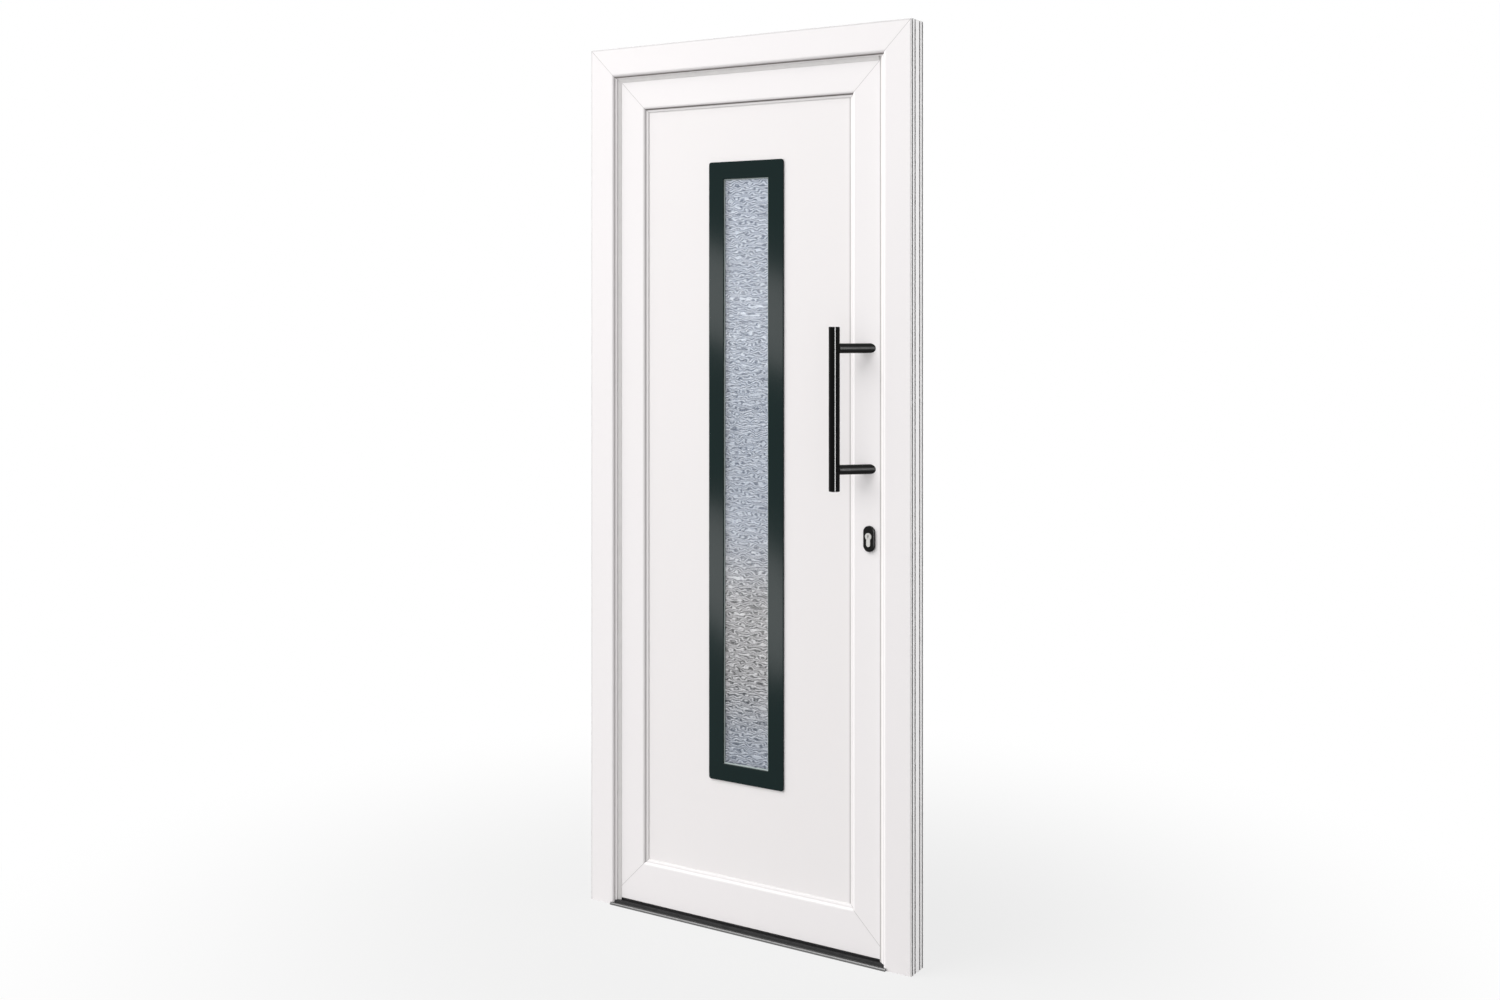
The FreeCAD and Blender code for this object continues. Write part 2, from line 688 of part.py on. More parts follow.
def keyhole_face(grow):
    """Euro cylinder outline in (x, z): a round head over a narrower tail with a round foot."""
    head = CYLINDER_HEAD + grow
    half = CYLINDER_TAIL + grow
    neck_z = -sqrt(head**2 - half**2)
    foot_z = CYLINDER_HEAD - CYLINDER_HEIGHT + CYLINDER_TAIL
    neck = Vector(half, neck_z, 0)
    foot = Vector(half, foot_z, 0)
    far_neck = Vector(-half, neck_z, 0)
    far_foot = Vector(-half, foot_z, 0)
    curves = [
        Part.Arc(far_neck, Vector(0, head, 0), neck),
        Part.LineSegment(neck, foot),
        Part.Arc(foot, Vector(0, foot_z - half, 0), far_foot),
        Part.LineSegment(far_foot, far_neck),
    ]
    return Part.Face(Part.Wire([curve.toShape() for curve in curves]))


def cylinder_profile(grow, y0, y1):
    """The euro cylinder's outline, grown all round, as a solid between two depths."""
    solid = keyhole_face(grow).extrude(Vector(0, 0, y1 - y0))
    solid.rotate(Vector(0, 0, 0), Vector(1, 0, 0), 90)
    solid.translate(Vector(HANDLE_X, y1, CYLINDER_Z))
    return solid


def keyway(front_y, way):
    """Stepped slot for the key, cut from the front depth inwards along way."""
    half_height, half_width = KEYWAY_HEIGHT / 2, KEYWAY_WIDTH / 2
    y0, y1 = sorted((front_y - way, front_y + way * KEYWAY_DEEP))
    x0, z = HANDLE_X - half_width, CYLINDER_Z
    lower = block(x0, x0 + KEYWAY_WIDTH - KEYWAY_STEP, y0, y1, z - half_height, z + half_height)
    upper = block(
        x0 + KEYWAY_STEP, x0 + KEYWAY_WIDTH, y0, y1, z - KEYWAY_STEP, z + half_height
    )
    return lower.fuse(upper)


def oval_cover(thick, seat_y, way, z):
    """Oval cover with a bevelled rim, standing off its seat towards way in depth."""
    half = ESCUTCHEON_WIDTH / 2
    reach = ESCUTCHEON_HEIGHT / 2
    face = outline(
        [(-half, -reach, half), (half, -reach, half), (half, reach, half), (-half, reach, half)]
    )
    cover = face.extrude(Vector(0, 0, thick))
    cover = bevelled(
        cover, ESCUTCHEON_BEVEL, lambda edge: edge.BoundBox.ZMin > thick - ESCUTCHEON_BEVEL
    )
    cover.rotate(Vector(0, 0, 0), Vector(1, 0, 0), -90 * way)
    cover.translate(Vector(HANDLE_X, seat_y, z))
    return cover


def escutcheon(seat_y, way):
    """Oval cover with its hole shaped to the cylinder."""
    cover = oval_cover(ESCUTCHEON_THICK, seat_y, way, CYLINDER_Z - ESCUTCHEON_DROP)
    y0, y1 = sorted((seat_y - way, seat_y + way * (ESCUTCHEON_THICK + 1)))
    return cover.cut(cylinder_profile(CYLINDER_GAP, y0, y1))


def build_lock():
    """Euro cylinder through the lock stile, its turning plug outside, and both covers."""
    front = LEAF_OUTSIDE_Y - ESCUTCHEON_THICK - CYLINDER_PROUD
    back = LEAF_INSIDE_Y + ESCUTCHEON_THICK + CYLINDER_PROUD
    body = cylinder_profile(0.0, front, back)
    middle = Vector(HANDLE_X, front, CYLINDER_Z)
    inwards = Vector(0, 1, 0)
    hole_end = middle + inwards * (PLUG_LENGTH + PLUG_END_GAP)
    hole = rod(PLUG_RADIUS + PLUG_FIT, middle - inwards, hole_end)
    body = body.cut([hole, keyway(back, -1)])
    plug = rod(PLUG_RADIUS, middle - inwards * PLUG_PROUD, middle + inwards * PLUG_LENGTH)
    plug = plug.cut(keyway(front - PLUG_PROUD, 1))
    return {
        "lock_cylinder": body,
        "key_plug": plug,
        "escutcheon_outside": escutcheon(LEAF_OUTSIDE_Y, -1),
        "escutcheon_inside": escutcheon(LEAF_INSIDE_Y, 1),
    }


def build_lever():
    """Inside lever: an oval rose, a round neck and a rounded grip that points to the hinges."""
    rose_top = LEAF_INSIDE_Y + ROSE_THICK
    grip_y = LEAF_INSIDE_Y + LEVER_REACH
    neck_start = Vector(HANDLE_X, rose_top, LEVER_Z)
    neck = rod(LEVER_NECK_RADIUS, neck_start, Vector(HANDLE_X, grip_y, LEVER_Z))
    half_height = LEVER_HEIGHT / 2
    half_thick = LEVER_THICK / 2
    grip_face = outline(
        [
            (-half_height, -half_thick, LEVER_ROUND),
            (half_height, -half_thick, LEVER_ROUND),
            (half_height, half_thick, LEVER_ROUND),
            (-half_height, half_thick, LEVER_ROUND),
        ]
    )
    grip = grip_face.extrude(Vector(0, 0, LEVER_LENGTH))
    grip = bevelled(grip, LEVER_BEVEL, lambda edge: edge.BoundBox.ZLength < LEVER_BEVEL)
    # The grip is drawn in (height, depth) along Z, so it is turned to lie across the door.
    grip.rotate(Vector(0, 0, 0), Vector(0, 1, 0), 90)
    grip.translate(Vector(HANDLE_X + half_height - LEVER_LENGTH, grip_y, LEVER_Z))
    return {
        "lever_rose": oval_cover(ROSE_THICK, LEAF_INSIDE_Y, 1, LEVER_Z),
        "inside_lever": clean(neck.fuse(grip)),
    }


def bolt_places():
    """Middle height and height of the latch and of the dead bolt."""
    return ((LATCH_Z, LATCH_HEIGHT), (DEADBOLT_Z, DEADBOLT_HEIGHT))


def bolt_block(z, height, grow, proud):
    """Bolt body in the leaf's edge, grown all round, standing proud of the edge."""
    half = height / 2 + grow
    half_thick = BOLT_THICK / 2 + grow
    deep = BOLT_BODY if grow else BOLT_BODY - BOLT_CLEAR
    return block(
        LEAF_EDGE_X - deep, LEAF_EDGE_X + proud,
        GROOVE_Y - half_thick, GROOVE_Y + half_thick, z - half, z + half,
    )


def bolt_hole_width():
    """Width of the holes in the strike plate and of the pockets behind them."""
    return BOLT_THICK + 2 * STRIKE_HOLE_CLEAR


def strike_holes():
    """Middle height and height of the holes that take the latch and the dead bolt."""
    return tuple((z, height + 2 * STRIKE_HOLE_CLEAR) for z, height in bolt_places())


def build_lock_hardware():
    """Long faceplate in the leaf's edge, the two bolts in it, and the strike on the frame."""
    half_groove = HARDWARE_GROOVE / 2
    plate = block(
        LEAF_EDGE_X - HARDWARE_GROOVE_DEEP, LEAF_EDGE_X,
        GROOVE_Y - half_groove, GROOVE_Y + half_groove,
        LEAF_FOOT + FACEPLATE_FROM_END, LEAF_TOP - FACEPLATE_FROM_END,
    )
    plate = rounded(
        plate, FACEPLATE_ROUND,
        lambda edge: edge.BoundBox.XLength > HARDWARE_GROOVE_DEEP / 2,
    )
    for z, height in bolt_places():
        plate = plate.cut(bolt_block(z, height, BOLT_CLEAR, HARDWARE_GROOVE_DEEP))
    latch = bolt_block(LATCH_Z, LATCH_HEIGHT, 0.0, LATCH_PROUD)
    deadbolt = bolt_block(DEADBOLT_Z, DEADBOLT_HEIGHT, 0.0, 0.0)
    strike_top = LATCH_Z + LATCH_HEIGHT / 2 + STRIKE_MARGIN
    strike_bottom = DEADBOLT_Z - DEADBOLT_HEIGHT / 2 - STRIKE_MARGIN
    half_width = STRIKE_WIDTH / 2
    strike = block(
        REBATE_X - STRIKE_THICK, REBATE_X,
        GROOVE_Y - half_width, GROOVE_Y + half_width, strike_bottom, strike_top,
    )
    strike = rounded(
        strike, STRIKE_ROUND, lambda edge: edge.BoundBox.XLength > STRIKE_THICK / 2
    )
    half_hole = bolt_hole_width() / 2
    for z, height in strike_holes():
        strike = strike.cut(
            block(
                REBATE_X - STRIKE_THICK - 1, REBATE_X + 1,
                GROOVE_Y - half_hole, GROOVE_Y + half_hole, z - height / 2, z + height / 2,
            )
        )
    return {
        "lock_faceplate": plate,
        "latch_bolt": latch,
        "dead_bolt": deadbolt,
        "strike_plate": strike,
    }


def hinge_frame_part(z):
    """Plate screwed to the frame's inside face, with a web out to the middle knuckle."""
    frame_inside_y = OUTSIDE_Y + FRAME_DEPTH
    overlap_x = LEAF_EDGE - LEAF_OVERLAP - FRAME_WIDTH / 2
    left = HINGE_PLATE_INSET - FRAME_WIDTH / 2
    right = overlap_x - FACE_GAP
    half = HINGE_PLATE_HEIGHT / 2
    plate = block(left, right, frame_inside_y, frame_inside_y + HINGE_PLATE, z - half, z + half)
    plate = bevelled(
        plate, HINGE_PLATE_CORNER, lambda edge: edge.BoundBox.YLength > HINGE_PLATE / 2
    )
    knuckle_half = FRAME_KNUCKLE / 2
    web = block(
        HINGE_X - BARREL_RADIUS, right, frame_inside_y, HINGE_Y,
        z - knuckle_half, z + knuckle_half,
    )
    low = Vector(HINGE_X, HINGE_Y, z - knuckle_half)
    up = Vector(0, 0, FRAME_KNUCKLE)
    barrel = rod(BARREL_RADIUS, low, low + up)
    bore = rod(PIN_RADIUS + PIN_FIT, low - up, low + 2 * up)
    return clean(plate.fuse([web, barrel])).cut(bore)


def hinge_leaf_part(z):
    """Plate screwed to the leaf's inside face, with an arm to a knuckle above and below."""
    plate_left = LEAF_EDGE - LEAF_OVERLAP + LEAF_PLATE_INSET - FRAME_WIDTH / 2
    half = hinge_half_height()
    plate = block(
        plate_left, plate_left + LEAF_PLATE_WIDTH,
        LEAF_INSIDE_Y, LEAF_INSIDE_Y + LEAF_PLATE_THICK, z - half, z + half,
    )
    right_half = plate_left + LEAF_PLATE_WIDTH / 2
    plate = bevelled(
        plate, HINGE_PLATE_CORNER,
        lambda edge: edge.BoundBox.YLength > LEAF_PLATE_THICK / 2
        and edge.BoundBox.XMin > right_half,
    )
    solid = plate
    for low_z in (z - half, z + half - LEAF_KNUCKLE):
        low = Vector(HINGE_X, HINGE_Y, low_z)
        barrel = rod(BARREL_RADIUS, low, low + Vector(0, 0, LEAF_KNUCKLE))
        arm = block(
            HINGE_X, plate_left + LEAF_PLATE_THICK,
            HINGE_Y - BARREL_RADIUS, LEAF_INSIDE_Y + LEAF_PLATE_THICK + LEAF_ARM_OVER_PLATE,
            low_z, low_z + LEAF_KNUCKLE,
        )
        solid = solid.fuse([arm, barrel])
    bore_start = Vector(HINGE_X, HINGE_Y, z - half - 1)
    bore = rod(PIN_RADIUS + PIN_FIT, bore_start, bore_start + Vector(0, 0, 2 * half + 2))
    return clean(solid).cut(bore)


def hinge_half_height():
    """Half the height of a whole hinge, from its middle to the end of a leaf knuckle."""
    return FRAME_KNUCKLE / 2 + KNUCKLE_GAP + LEAF_KNUCKLE


def hinge_pin(z):
    """Pin with a round cap at its top."""
    reach = hinge_half_height() + KNUCKLE_GAP
    low = Vector(HINGE_X, HINGE_Y, z - reach)
    high = Vector(HINGE_X, HINGE_Y, z + reach)
    cap = rod(PIN_CAP_RADIUS, high, high + Vector(0, 0, PIN_CAP))
    return clean(rod(PIN_RADIUS, low, high).fuse(cap))


def build_hinges():
    """Three barrel hinges on the room side, and their pins as one node."""
    pieces = {}
    pins = []
    for place, z in HINGE_HEIGHTS.items():
        pieces[f"hinge_{place}_on_frame"] = hinge_frame_part(z)
        pieces[f"hinge_{place}_on_leaf"] = hinge_leaf_part(z)
        pins.append(hinge_pin(z))
    pieces["hinge_pins"] = Part.Compound(pins)
    return pieces


def build_door():
    """Every piece of the door by its node name."""
    frame = build_frame()
    pieces = dict(frame)
    pieces["frame_seal"] = build_frame_seal()
    pieces.update(build_threshold([frame["frame_hinge_jamb"], frame["frame_lock_jamb"]]))
    for build in (
        build_leaf, build_leaf_seals, build_panel, build_window,
        build_pull_bar, build_lock, build_lever, build_lock_hardware, build_hinges,
    ):
        pieces.update(build())
    return pieces


os.makedirs("parts", exist_ok=True)
total = 0.0
for name, shape in build_door().items():
    shape.exportStep(f"parts/{name}.step")
    total += shape.Volume
    print(f"{name}: {len(shape.Solids)} solid, {shape.Volume / 1e6:.3f} l, valid {shape.isValid()}")
print(f"total {total / 1e9:.4f} cubic metres")
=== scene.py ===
# %% [markdown]
# # A white front door with a tall window
#
# This lesson dresses a front door that has already been built as solid pieces. The solids bring
# the true sizes. What is left for Blender is how the door looks: the satin white plastic, the
# patterned glass, the black pull bar, the screws, the light and the camera.
#
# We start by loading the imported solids. Every piece keeps its place, in metres, with X across
# the door, Y from outdoors to indoors and Z up.

# %% Load the solids
from math import cos, pi, radians

import bmesh
import bpy
from mathutils import Matrix, Vector, noise


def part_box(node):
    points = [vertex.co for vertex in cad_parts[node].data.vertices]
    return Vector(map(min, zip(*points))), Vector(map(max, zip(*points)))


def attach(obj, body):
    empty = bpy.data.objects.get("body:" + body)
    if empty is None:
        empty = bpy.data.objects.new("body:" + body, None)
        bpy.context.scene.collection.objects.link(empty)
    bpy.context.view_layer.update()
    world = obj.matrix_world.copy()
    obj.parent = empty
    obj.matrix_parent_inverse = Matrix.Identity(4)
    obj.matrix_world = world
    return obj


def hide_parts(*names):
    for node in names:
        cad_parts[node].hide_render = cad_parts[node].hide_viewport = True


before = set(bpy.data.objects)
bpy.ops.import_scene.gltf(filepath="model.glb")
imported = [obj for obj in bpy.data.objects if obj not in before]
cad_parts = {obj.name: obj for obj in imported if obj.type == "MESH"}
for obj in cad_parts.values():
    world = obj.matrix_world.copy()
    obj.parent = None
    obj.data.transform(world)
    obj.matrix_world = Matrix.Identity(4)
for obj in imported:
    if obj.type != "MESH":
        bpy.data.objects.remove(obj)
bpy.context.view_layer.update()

# %% [markdown]
# A door is measured in millimetres and Blender counts in metres, so one name does the change.
# A few small helpers keep the later cells short. `place` adds a shader node and feeds its
# sockets with numbers or with other nodes' outputs. `reckon` is a Math node in one line and
# `ramp` a Map Range node. `new_finish` starts a material and hands back its shader,
# `feed_shader` links outputs to that shader, and `dress` gives the finish to solids.

# %% Helpers for shader nodes
MM = 0.001


def place(tree, kind, feeds=None, **settings):
    """A new shader node: settings are its own, feeds go to its sockets by name or number."""
    made = tree.nodes.new(kind)
    for name, value in settings.items():
        setattr(made, name, value)
    for name, value in (feeds or {}).items():
        if isinstance(value, bpy.types.NodeSocket):
            tree.links.new(value, made.inputs[name])
        else:
            made.inputs[name].default_value = value
    return made


def reckon(tree, operation, first, second=0.0, third=0.0):
    """The output of a Math node."""
    feeds = {0: first, 1: second, 2: third}
    return place(tree, "ShaderNodeMath", feeds, operation=operation).outputs[0]


def ramp(tree, value, begin, end, at_begin, at_end, smooth=True):
    """The output of a Map Range node: at_begin where value is begin, at_end where it is end."""
    feeds = {
        "Value": value, "From Min": begin, "From Max": end, "To Min": at_begin, "To Max": at_end
    }
    way = "SMOOTHSTEP" if smooth else "LINEAR"
    return place(tree, "ShaderNodeMapRange", feeds, interpolation_type=way).outputs["Result"]


def object_place(tree):
    """Object coordinates, in metres from the door's origin."""
    return place(tree, "ShaderNodeTexCoord").outputs["Object"]


def new_finish(name, **plain):
    """A material, its tree and its shader, with the plain values set on the shader itself."""
    material = bpy.data.materials.new(name)
    material.use_nodes = True
    shader = material.node_tree.nodes["Principled BSDF"]
    for socket, value in plain.items():
        shader.inputs[socket.replace("_", " ")].default_value = value
    return material, material.node_tree, shader


def feed_shader(tree, shader, **outputs):
    """Links the outputs of nodes to the shader's sockets."""
    for socket, output in outputs.items():
        tree.links.new(output, shader.inputs[socket.replace("_", " ")])


def dress(material, *names):
    """Gives a finish to solids that keep their own shape."""
    for name in names:
        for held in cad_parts[name].material_slots:
            held.material = material
    print(material.name, "on", len(names), "solids")


print("one millimetre is", MM, "of Blender's units")

# %% [markdown]
# The picture was taken by a level camera to the right of the door: upright edges stay upright,
# so the lens is shifted down a little instead of the camera being tilted. The picture's own
# lines gave the place and the lens length.

# %% Camera
CAMERA_PLACE = (2.019, -3.227, 1.478)
CAMERA_TURN = radians(31.97)
CAMERA_LENS = 38.9
CAMERA_DROP = -0.132
SENSOR_WIDE = 36.0

lens = bpy.data.cameras.new("picture_lens")
lens.lens = CAMERA_LENS
lens.sensor_width = SENSOR_WIDE
lens.shift_y = CAMERA_DROP
camera = bpy.data.objects.new("picture_camera", lens)
camera.location = CAMERA_PLACE
camera.rotation_euler = (radians(90), 0.0, CAMERA_TURN)
bpy.context.scene.collection.objects.link(camera)
bpy.context.scene.camera = camera
bpy.context.scene.view_settings.view_transform = "Standard"
print("camera", CAMERA_PLACE, "lens", CAMERA_LENS)

# %% [markdown]
# The door stands on a plain pale floor in a white studio. What the eye, a mirror or a pane
# sees of the world is pure white. What lights the door is dimmer, so white plastic keeps its
# shading. The floor is a real matt surface near the door, where it carries the shadow, and
# melts into the white further out.

# %% White studio
WORLD_FILL = 0.375
FLOOR_RADIUS = 14.0
FLOOR_DROP = 0.2 * MM
FLOOR_GREY = (0.36, 0.358, 0.355, 1.0)
FADE_NEAR, FADE_FAR = 0.35, 2.0
GLOW_NEAR = 0.80


def seen_directly(tree):
    """1 for rays that come straight from the eye, a mirror or a pane, and 0 for the rest."""
    rays = place(tree, "ShaderNodeLightPath").outputs
    either = reckon(tree, "MAXIMUM", rays["Is Camera Ray"], rays["Is Glossy Ray"])
    return reckon(tree, "MAXIMUM", either, rays["Is Transmission Ray"])


def put_in_scene(name, shape):
    """The object of a finished bmesh, with its place in its mesh."""
    mesh = bpy.data.meshes.new(name)
    shape.to_mesh(mesh)
    shape.free()
    piece = bpy.data.objects.new(name, mesh)
    bpy.context.scene.collection.objects.link(piece)
    return piece


world = bpy.data.worlds.new("white_studio")
world.use_nodes = True
bpy.context.scene.world = world
sky = world.node_tree
backdrop = sky.nodes["Background"]
backdrop.inputs["Color"].default_value = (1.0, 1.0, 1.0, 1.0)
lift = reckon(sky, "MULTIPLY_ADD", seen_directly(sky), 1.0 - WORLD_FILL, WORLD_FILL)
sky.links.new(lift, backdrop.inputs["Strength"])


def build_floor():
    """A large round floor just under the door, pale near it and white far away."""
    shape = bmesh.new()
    bmesh.ops.create_circle(shape, cap_ends=True, radius=FLOOR_RADIUS, segments=96)
    bmesh.ops.translate(shape, verts=shape.verts, vec=(0.0, 0.0, -FLOOR_DROP))
    floor = put_in_scene("studio_floor", shape)
    material, tree, shader = new_finish(
        "studio_floor", Base_Color=FLOOR_GREY, Roughness=0.85, Specular_IOR_Level=0.1
    )
    away = place(tree, "ShaderNodeVectorMath", {0: object_place(tree)}, operation="LENGTH")
    fade = ramp(tree, away.outputs["Value"], FADE_NEAR, FADE_FAR, GLOW_NEAR, 1.0)
    share = reckon(tree, "MULTIPLY", fade, seen_directly(tree))
    glow = place(tree, "ShaderNodeEmission", {"Strength": 1.0}).outputs["Emission"]
    feeds = {0: share, 1: shader.outputs["BSDF"], 2: glow}
    blend = place(tree, "ShaderNodeMixShader", feeds).outputs[0]
    tree.links.new(blend, tree.nodes["Material Output"].inputs["Surface"])
    floor.data.materials.append(material)


build_floor()
print("floor radius", FLOOR_RADIUS)

# %% [markdown]
# Soft light comes from the upper left in front of the door. It leaves the undersides and the
# edges that face right a little grey, which is how the picture shows the profile's steps. A
# second large panel of light fills in from the left, and a third one behind on the right picks
# out the grooves in the frame's outer side.
#
# Dark satin surfaces also need something to mirror. Two tilted cards show as soft grey patches
# in the window trim, and a tall strip to the right of the door draws the line of light on the
# pull bar. They are lights that matt surfaces don't receive.

# %% Studio lights
def add_light(name, power, place_at, aim_at, width, height, colour=(1.0, 1.0, 1.0)):
    """A rectangular light that faces a point."""
    data = bpy.data.lights.new(name, "AREA")
    data.shape = "RECTANGLE"
    data.energy = power
    data.size = width
    data.size_y = height
    data.color = colour
    light = bpy.data.objects.new(name, data)
    light.location = place_at
    aim = Vector(aim_at) - Vector(place_at)
    light.rotation_euler = aim.to_track_quat("-Z", "Y").to_euler()
    bpy.context.scene.collection.objects.link(light)
    return light


def add_card(name, power, place_at, aim_at, width, height, tilt=0.0):
    """A light that only shows in mirroring surfaces, tilted in its own plane by an angle."""
    card = add_light(name, power, place_at, aim_at, width, height)
    card.rotation_euler.rotate_axis("Z", radians(tilt))
    card.visible_diffuse = False
    card.visible_camera = False
    card.visible_transmission = False
    return card


DOOR_MIDDLE = (0.0, 0.0, 1.15)
LOCK_SIDE = (0.44, 0.0, 1.2)
BAR_MIDDLE = (0.27, -0.07, 1.24)
KEY_TINT = (1.0, 0.99, 0.985)
key_light = add_light("key_light", 1262.0, (-5.0, -6.4, 10.8), DOOR_MIDDLE, 9.0, 9.0, KEY_TINT)
left_fill = add_light("left_fill", 855.0, (-9.2, -7.4, 3.4), DOOR_MIDDLE, 14.0, 8.0)
left_fill.visible_glossy = False
side_light = add_light("side_light", 200.0, (4.2, 1.4, 1.6), LOCK_SIDE, 1.2, 2.6)
upper_card = add_card(
    "upper_card", 3.0, (-1.0, -1.6, 1.46), (0.0, 0.0, 1.48), 0.62, 0.30, tilt=-24.0
)
lower_card = add_card(
    "lower_card", 3.2, (-1.0, -1.6, 0.47), (0.0, 0.0, 0.82), 0.62, 0.32, tilt=-40.0
)
bar_strip = add_card("bar_strip", 2400.0, (4.1, -3.6, 1.4), BAR_MIDDLE, 1.3, 4.6)

# %% [markdown]
# A lamp can be told which pieces it lights and which ones cast its shadow. The cards are only
# for the window and the strip only for the black handles, or they would glare in the nickel
# cylinder. The side light is for the frame alone, or it would glare on the open leaf.
#
# The picture shows no long shadow beside the pull bar, so the low fill light passes the bar and
# its posts without one. The key light passes the bar too, but the posts keep the short soft
# shadow that the picture shows below them.

# %% What each lamp is for
HANDLE_NODES = ("pull_bar", "pull_bar_lower_post", "pull_bar_upper_post", "escutcheon_outside")
SIDE_NODES = ("frame_lock_jamb", "frame_head", "threshold_base", "threshold_insert")


def lamp_group(name, names, state="INCLUDE"):
    """A collection of solids that a lamp takes in or leaves out."""
    group = bpy.data.collections.new(name)
    for node in names:
        group.objects.link(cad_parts[node])
    for held in group.collection_objects:
        held.light_linking.link_state = state
    return group


window_group = lamp_group("lit_by_cards", ("window_trim_outside",))
upper_card.light_linking.receiver_collection = window_group
lower_card.light_linking.receiver_collection = window_group
bar_strip.light_linking.receiver_collection = lamp_group("lit_by_strip", HANDLE_NODES)
side_light.light_linking.receiver_collection = lamp_group("lit_on_the_side", SIDE_NODES)
left_fill.light_linking.blocker_collection = lamp_group(
    "no_fill_shadow", HANDLE_NODES[:3], "EXCLUDE"
)
key_light.light_linking.blocker_collection = lamp_group(
    "no_key_shadow", HANDLE_NODES[:1], "EXCLUDE"
)

# %% [markdown]
# Several finishes share the same small effects, so each effect is a node group with its own
# named inputs. `new_effect` starts such a group and `use_effect` places it in a material.
#
# Nearly every effect starts from Object coordinates. All pieces stand at the origin, so these
# are the same as places on the door, and a mark that follows the frame's corners needs nothing
# but the frame's own sizes.

# %% Helpers for node groups
def new_effect(name, takes, gives):
    """A node group with its inner outputs and inputs. Takes and gives are name to default."""
    effect = bpy.data.node_groups.new(name, "ShaderNodeTree")
    for label, default in takes.items():
        kind = "NodeSocketVector" if isinstance(default, tuple) else "NodeSocketFloat"
        socket = effect.interface.new_socket(label, in_out="INPUT", socket_type=kind)
        socket.default_value = default
    for label in gives:
        effect.interface.new_socket(label, in_out="OUTPUT", socket_type="NodeSocketFloat")
    begin, end = effect.nodes.new("NodeGroupInput"), effect.nodes.new("NodeGroupOutput")
    return effect, begin.outputs, end.inputs


def use_effect(tree, effect, output, **feeds):
    """Places an effect in a material and returns one of its outputs."""
    return place(tree, "ShaderNodeGroup", feeds, node_tree=effect).outputs[output]


def object_parts(tree):
    """The X, Y and Z of the Object coordinates, as three outputs."""
    return place(tree, "ShaderNodeSeparateXYZ", {0: object_place(tree)}).outputs


print("group helpers ready")

# %% [markdown]
# `tone_drift` is the slow change of tone that no large surface is without. `pulled_lines` are
# the faint lines that an extruded profile has along its length. `fine_grain` is the bump of
# moulded or powder coated surfaces. All three are noises, stretched or scaled.

# %% Effects of the surface
def make_tone_drift():
    """Shade swings between 1 and 1 minus Strength over patches of about 1 / Scale metres."""
    effect, takes, gives = new_effect("tone_drift", {"Scale": 2.0, "Strength": 0.05}, ["Shade"])
    feeds = {"Vector": object_place(effect), "Scale": takes["Scale"], "Detail": 3.0}
    cloud = place(effect, "ShaderNodeTexNoise", feeds).outputs["Fac"]
    dip = reckon(effect, "MULTIPLY", cloud, takes["Strength"])
    effect.links.new(reckon(effect, "SUBTRACT", 1.0, dip), gives["Shade"])
    return effect


def make_pulled_lines():
    """Lines that run along the axis whose Stretch is small."""
    effect, takes, gives = new_effect(
        "pulled_lines", {"Stretch": (300.0, 300.0, 1.0)}, ["Height"]
    )
    feeds = {0: object_place(effect), 1: takes["Stretch"]}
    drawn = place(effect, "ShaderNodeVectorMath", feeds, operation="MULTIPLY").outputs["Vector"]
    lines = place(effect, "ShaderNodeTexNoise", {"Vector": drawn, "Scale": 1.0, "Detail": 2.0})
    effect.links.new(lines.outputs["Fac"], gives["Height"])
    return effect


def make_fine_grain():
    """Even grain of about 1 / Scale metres."""
    effect, takes, gives = new_effect("fine_grain", {"Scale": 900.0}, ["Height"])
    feeds = {"Vector": object_place(effect), "Scale": takes["Scale"], "Detail": 4.0}
    grain = place(effect, "ShaderNodeTexNoise", feeds)
    effect.links.new(grain.outputs["Fac"], gives["Height"])
    return effect


tone_drift = make_tone_drift()
pulled_lines = make_pulled_lines()
fine_grain = make_fine_grain()
print("effects", [group.name for group in bpy.data.node_groups])

# %% [markdown]
# `weld_seams` marks the mitre joints, which run at 45 degrees from the corners. One more mask
# paints shade along the outer rim of the frame, and another paints shade in the grooves of its
# wall side and along their edges. Each is a distance worked out with Math nodes and turned into
# a soft mask by a Map Range node.

# %% Seams, and painted shade at the frame's rim and in its grooves
FAR_DOWN, FAR_UP = -9.0, 9.0
SKIN_DEPTH = 0.5 * MM
GROOVE_DARK_FROM = 3.0 * MM


def inside_rim(tree, parts, takes):
    """How far a point lies inside the nearest of the rims |X| = Half and Z = Top."""
    across = reckon(tree, "ABSOLUTE", parts["X"])
    to_side = reckon(tree, "SUBTRACT", takes["Half"], across)
    to_top = reckon(tree, "SUBTRACT", takes["Top"], parts["Z"])
    return reckon(tree, "MINIMUM", to_side, to_top)


def make_weld_seams():
    """1 on the mitre lines Z = Top + |X| and Z = Foot - |X|, and 0 away from them."""
    effect, takes, gives = new_effect(
        "weld_seams", {"Top": 1.66, "Foot": FAR_DOWN, "Width": 0.001}, ["Seam"]
    )
    parts = object_parts(effect)
    across = reckon(effect, "ABSOLUTE", parts["X"])
    masks = []
    for sign, level in ((-1.0, takes["Top"]), (1.0, takes["Foot"])):
        reach = reckon(effect, "MULTIPLY_ADD", across, sign, parts["Z"])
        gap = reckon(effect, "ABSOLUTE", reckon(effect, "SUBTRACT", reach, level))
        masks.append(ramp(effect, gap, 0.0, takes["Width"], 1.0, 0.0))
    effect.links.new(reckon(effect, "MAXIMUM", *masks), gives["Seam"])
    return effect


